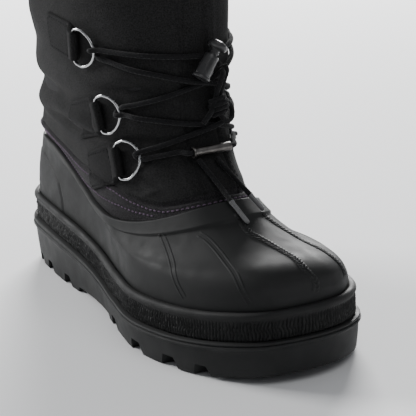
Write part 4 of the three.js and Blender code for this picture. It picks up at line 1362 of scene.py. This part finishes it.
def u_turn(name, side, first):
    """The lace through a ring: over the arc, back under it, from one strand to the other."""
    ring = ring_on(side, name)
    over = WIRE_RADIUS + LACE_RADIUS + 0.05
    middle = RING_REACH - 0.2
    steps = []
    for degrees in (90, 125, 155, 180, 205, 235, 270):
        t = math.radians(degrees)
        spread = first * STRAND_SPREAD * math.cos(math.radians((degrees - 90)))
        steps.append(ring.on_ring(middle + over * math.cos(t), spread * 0.72, over * math.sin(t) * 0.94))
    return steps


def over_cloth(start_place, end_place, shares, lift=0.0):
    """Points over the cloth between two places, each a turn and a level."""
    turn, level = (mix(one, other, shares) for one, other in zip(start_place, end_place))
    height = np.maximum(cloth_height(turn, level), -0.6) + LACE_OUTSET - 0.9
    return form_point(turn, level, height + lift)


def round_front(start, end, shares, lift=0.0):
    """Points over the cloth round the front, between places on the lateral and medial sides."""
    shares = np.asarray(shares)
    start_place, end_place = place_on(-1, start[0], start[2]), place_on(1, end[0], end[2])
    return over_cloth(start_place, end_place, shares, lift * hump(shares - 0.5, 0.09))


def across(start_row, start_spread, end_row, end_spread, lift=0.0):
    start = strand_start(start_row, -1, start_spread)
    end = strand_start(end_row, 1, end_spread)
    return [start, *round_front(start, end, FRONT_SHARES, lift), end]


def base_strand():
    start, end = strand_start("lower", -1, -1), strand_start("lower", 1, -1)
    on_cloth = round_front(start, end, BASE_SHARES)
    sleeve = [(TUBE["x"], y, TUBE["z"]) for y in np.linspace(TUBE["from"] - 2, TUBE["to"] + 2, 9)]
    return [start, *on_cloth[:3], *sleeve, *on_cloth[3:], end]


def top_strand(side):
    start = strand_start("upper", side, 1)
    end = LOCK_ENDS["lateral" if side < 0 else "medial"]
    start_place = place_on(side, start[0], start[2])
    end_place = place_on(side, end[0] - LACE_OUTSET, end[2])
    return [start, *over_cloth(start_place, end_place, np.array(TOP_SHARES)), np.array(end)]


def build_lace():
    """The lace as one run, from the lock down through the rings and back up to it."""
    down = [
        *[np.array(p) for p in IN_LOCK[::-1]], *top_strand(-1)[::-1], *u_turn("upper", -1, 1),
        *across("upper", -1, "middle", 1, CROSS_LIFT), *u_turn("middle", 1, 1),
        *across("lower", 1, "middle", -1, CROSS_LIFT)[::-1], *u_turn("lower", -1, 1),
    ]
    up = [
        *u_turn("lower", 1, -1), *across("middle", -1, "lower", 1)[::-1], *u_turn("middle", -1, -1),
        *across("middle", 1, "upper", -1), *u_turn("upper", 1, -1), *top_strand(1),
    ]
    route = np.array([*down, *base_strand(), *up])
    gaps = np.linalg.norm(np.diff(route, axis=0), axis=1)
    route = route[np.concatenate([[True], gaps > 0.6])]
    add_piece(
        "lace_look", lace_mesh("lace_look", route, 0.45), "lace",
        "lace_crossing_low", "lace_crossing_high", "lace_base", "lace_top_lateral", "lace_top_medial",
    )


build_lace()

# ---------------------------------------------------------------- sleeve on the lowest strand
TUBE_PROFILE = [
    (1.9, 0.2), (2.2, 0), (2.95, 0), (3.2, 0.3), (3.2, 1.3), (2.75, 1.75), (2.55, 2.3), (2.5, 4), (2.5, 23.2),
    (2.35, 23.8), (2.1, 24), (1.9, 23.8),
]


def build_tube():
    rings = lathe_rings(TUBE_PROFILE, (TUBE["x"], TUBE["from"], TUBE["z"]), (0, 1, 0), 40)
    mesh = ring_mesh("tube_look", rings, [GUNMETAL])
    sharpen(mesh, 50)
    add_piece("tube_look", mesh, "gunmetal", "lace_tube")


build_tube()

# ---------------------------------------------------------------- cord lock
LOCK_TOP = np.array([54, 10.6, 166.0])
LOCK_AXIS = unit(np.array([-0.06, 0.613, 0.788]))
LOCK_TURN = 0.5
HOLE_WIDTH = 3.6
SLOT_FOOT = 17
# Profiles are radius and depth below the button's top.
BARREL_PROFILE = [
    (3.2, 9), (3.2, 23.2), (3.5, 23.5), (5.0, 23.5), (5.3, 23.2), (5.3, 22.3), (5.15, 22.0), (4.75, 21.6), (4.78, 19.5),
    (4.72, 16.6), (4.55, 14), (4.42, 11.6), (4.35, 10.6), (4.2, 9.9), (4.1, 9.3), (3.9, 9),
]
BUTTON_PROFILE = [
    (0, 18.5), (2.4, 18.5), (2.9, 18), (2.9, 9.5), (2.9, 8.6), (2.6, 8.3), (2.6, 7.6), (2.9, 7.3), (2.9, 6.6),
    (2.65, 6.3), (2.65, 5.7), (3.0, 5.3), (4.4, 5.05), (5.4, 4.3), (5.8, 3.5), (5.9, 2.7), (5.7, 1.9), (5.0, 1.1),
    (3.6, 0.45), (1.8, 0.12), (0, 0),
]


def slot_cutter(top, foot):
    """A bar across the lock that cuts the lace's way through."""
    across = unit(np.cross(LOCK_AXIS, [1, 0, 0]))
    outward = np.cross(across, LOCK_AXIS)
    through = across * math.cos(LOCK_TURN) + outward * math.sin(LOCK_TURN)
    third = np.cross(through, LOCK_AXIS)
    rings = []
    for reach in (-10, 10):
        ring = []
        for k in range(24):
            t = 2 * math.pi * k / 24
            width, height = (math.copysign(abs(v) ** 0.5, v) for v in (math.cos(t), math.sin(t)))
            middle = LOCK_TOP - LOCK_AXIS * (top + foot) / 2
            sideways = through * reach + third * width * HOLE_WIDTH / 2
            ring.append(middle + sideways + LOCK_AXIS * height * (foot - top) / 2)
        rings.append(ring)
    return capped("slot", rings, SOLE)


def lock_part(name, profile, loop, top, node, body):
    rows = round_profile(profile, 0.12) if not loop else profile
    rings = lathe_rings([(r, -depth) for r, depth in rows], LOCK_TOP, LOCK_AXIS, 48)
    mesh = ring_mesh(name, rings, [LOCK_FINISH], loop=loop, caps=not loop)
    mesh = cut_from(mesh, [slot_cutter(top, SLOT_FOOT)])
    sharpen(mesh, 40)
    add_piece(name, mesh, "lock_plastic", node, body=body)


lock_part("barrel_look", BARREL_PROFILE, True, 10.8, "lock_barrel", "boot")
lock_part("button_look", BUTTON_PROFILE, False, 7.8, "lock_button", "lock_button")

# ---------------------------------------------------------------- floor and light
LIGHTS = {
    "key": {"at": (-2.0, -1.4, 1.3), "size": 1.0, "power": 82},
    "back": {"at": (-2.3, 1.6, 1.25), "size": 1.2, "power": 205},
    "front": {"at": (1.6, 0.2, 2.4), "size": 1.8, "power": 15},
}


def build_floor():
    finish = Shading("floor_paper", (0.88, 0.885, 0.89), 0.85, specular=0.2)
    finish.bump(finish.noise(300, 3), 0.00005)
    mesh = bpy.data.meshes.new("floor")
    reach = 9
    corners = [(-reach, -reach, 0), (reach, -reach, 0), (reach, reach, 0), (-reach, reach, 0)]
    mesh.from_pydata(corners, [], [(0, 1, 2, 3)])
    mesh.materials.append(finish.material)
    floor = bpy.data.objects.new("floor", mesh)
    bpy.context.scene.collection.objects.link(floor)


def build_lights():
    for name, row in LIGHTS.items():
        light = bpy.data.objects.new(name, bpy.data.lights.new(name, "AREA"))
        light.data.energy = row["power"]
        light.data.size = row["size"]
        light.location = row["at"]
        light.rotation_euler = (Vector((0, 0, 0.08)) - Vector(row["at"])).to_track_quat("-Z", "Y").to_euler()
        bpy.context.scene.collection.objects.link(light)
    world = bpy.data.worlds.new("studio")
    world.use_nodes = True
    background = world.node_tree.nodes["Background"]
    background.inputs["Color"].default_value = (0.93, 0.95, 1.0, 1)
    background.inputs["Strength"].default_value = 0.26
    bpy.context.scene.world = world


build_floor()
build_lights()
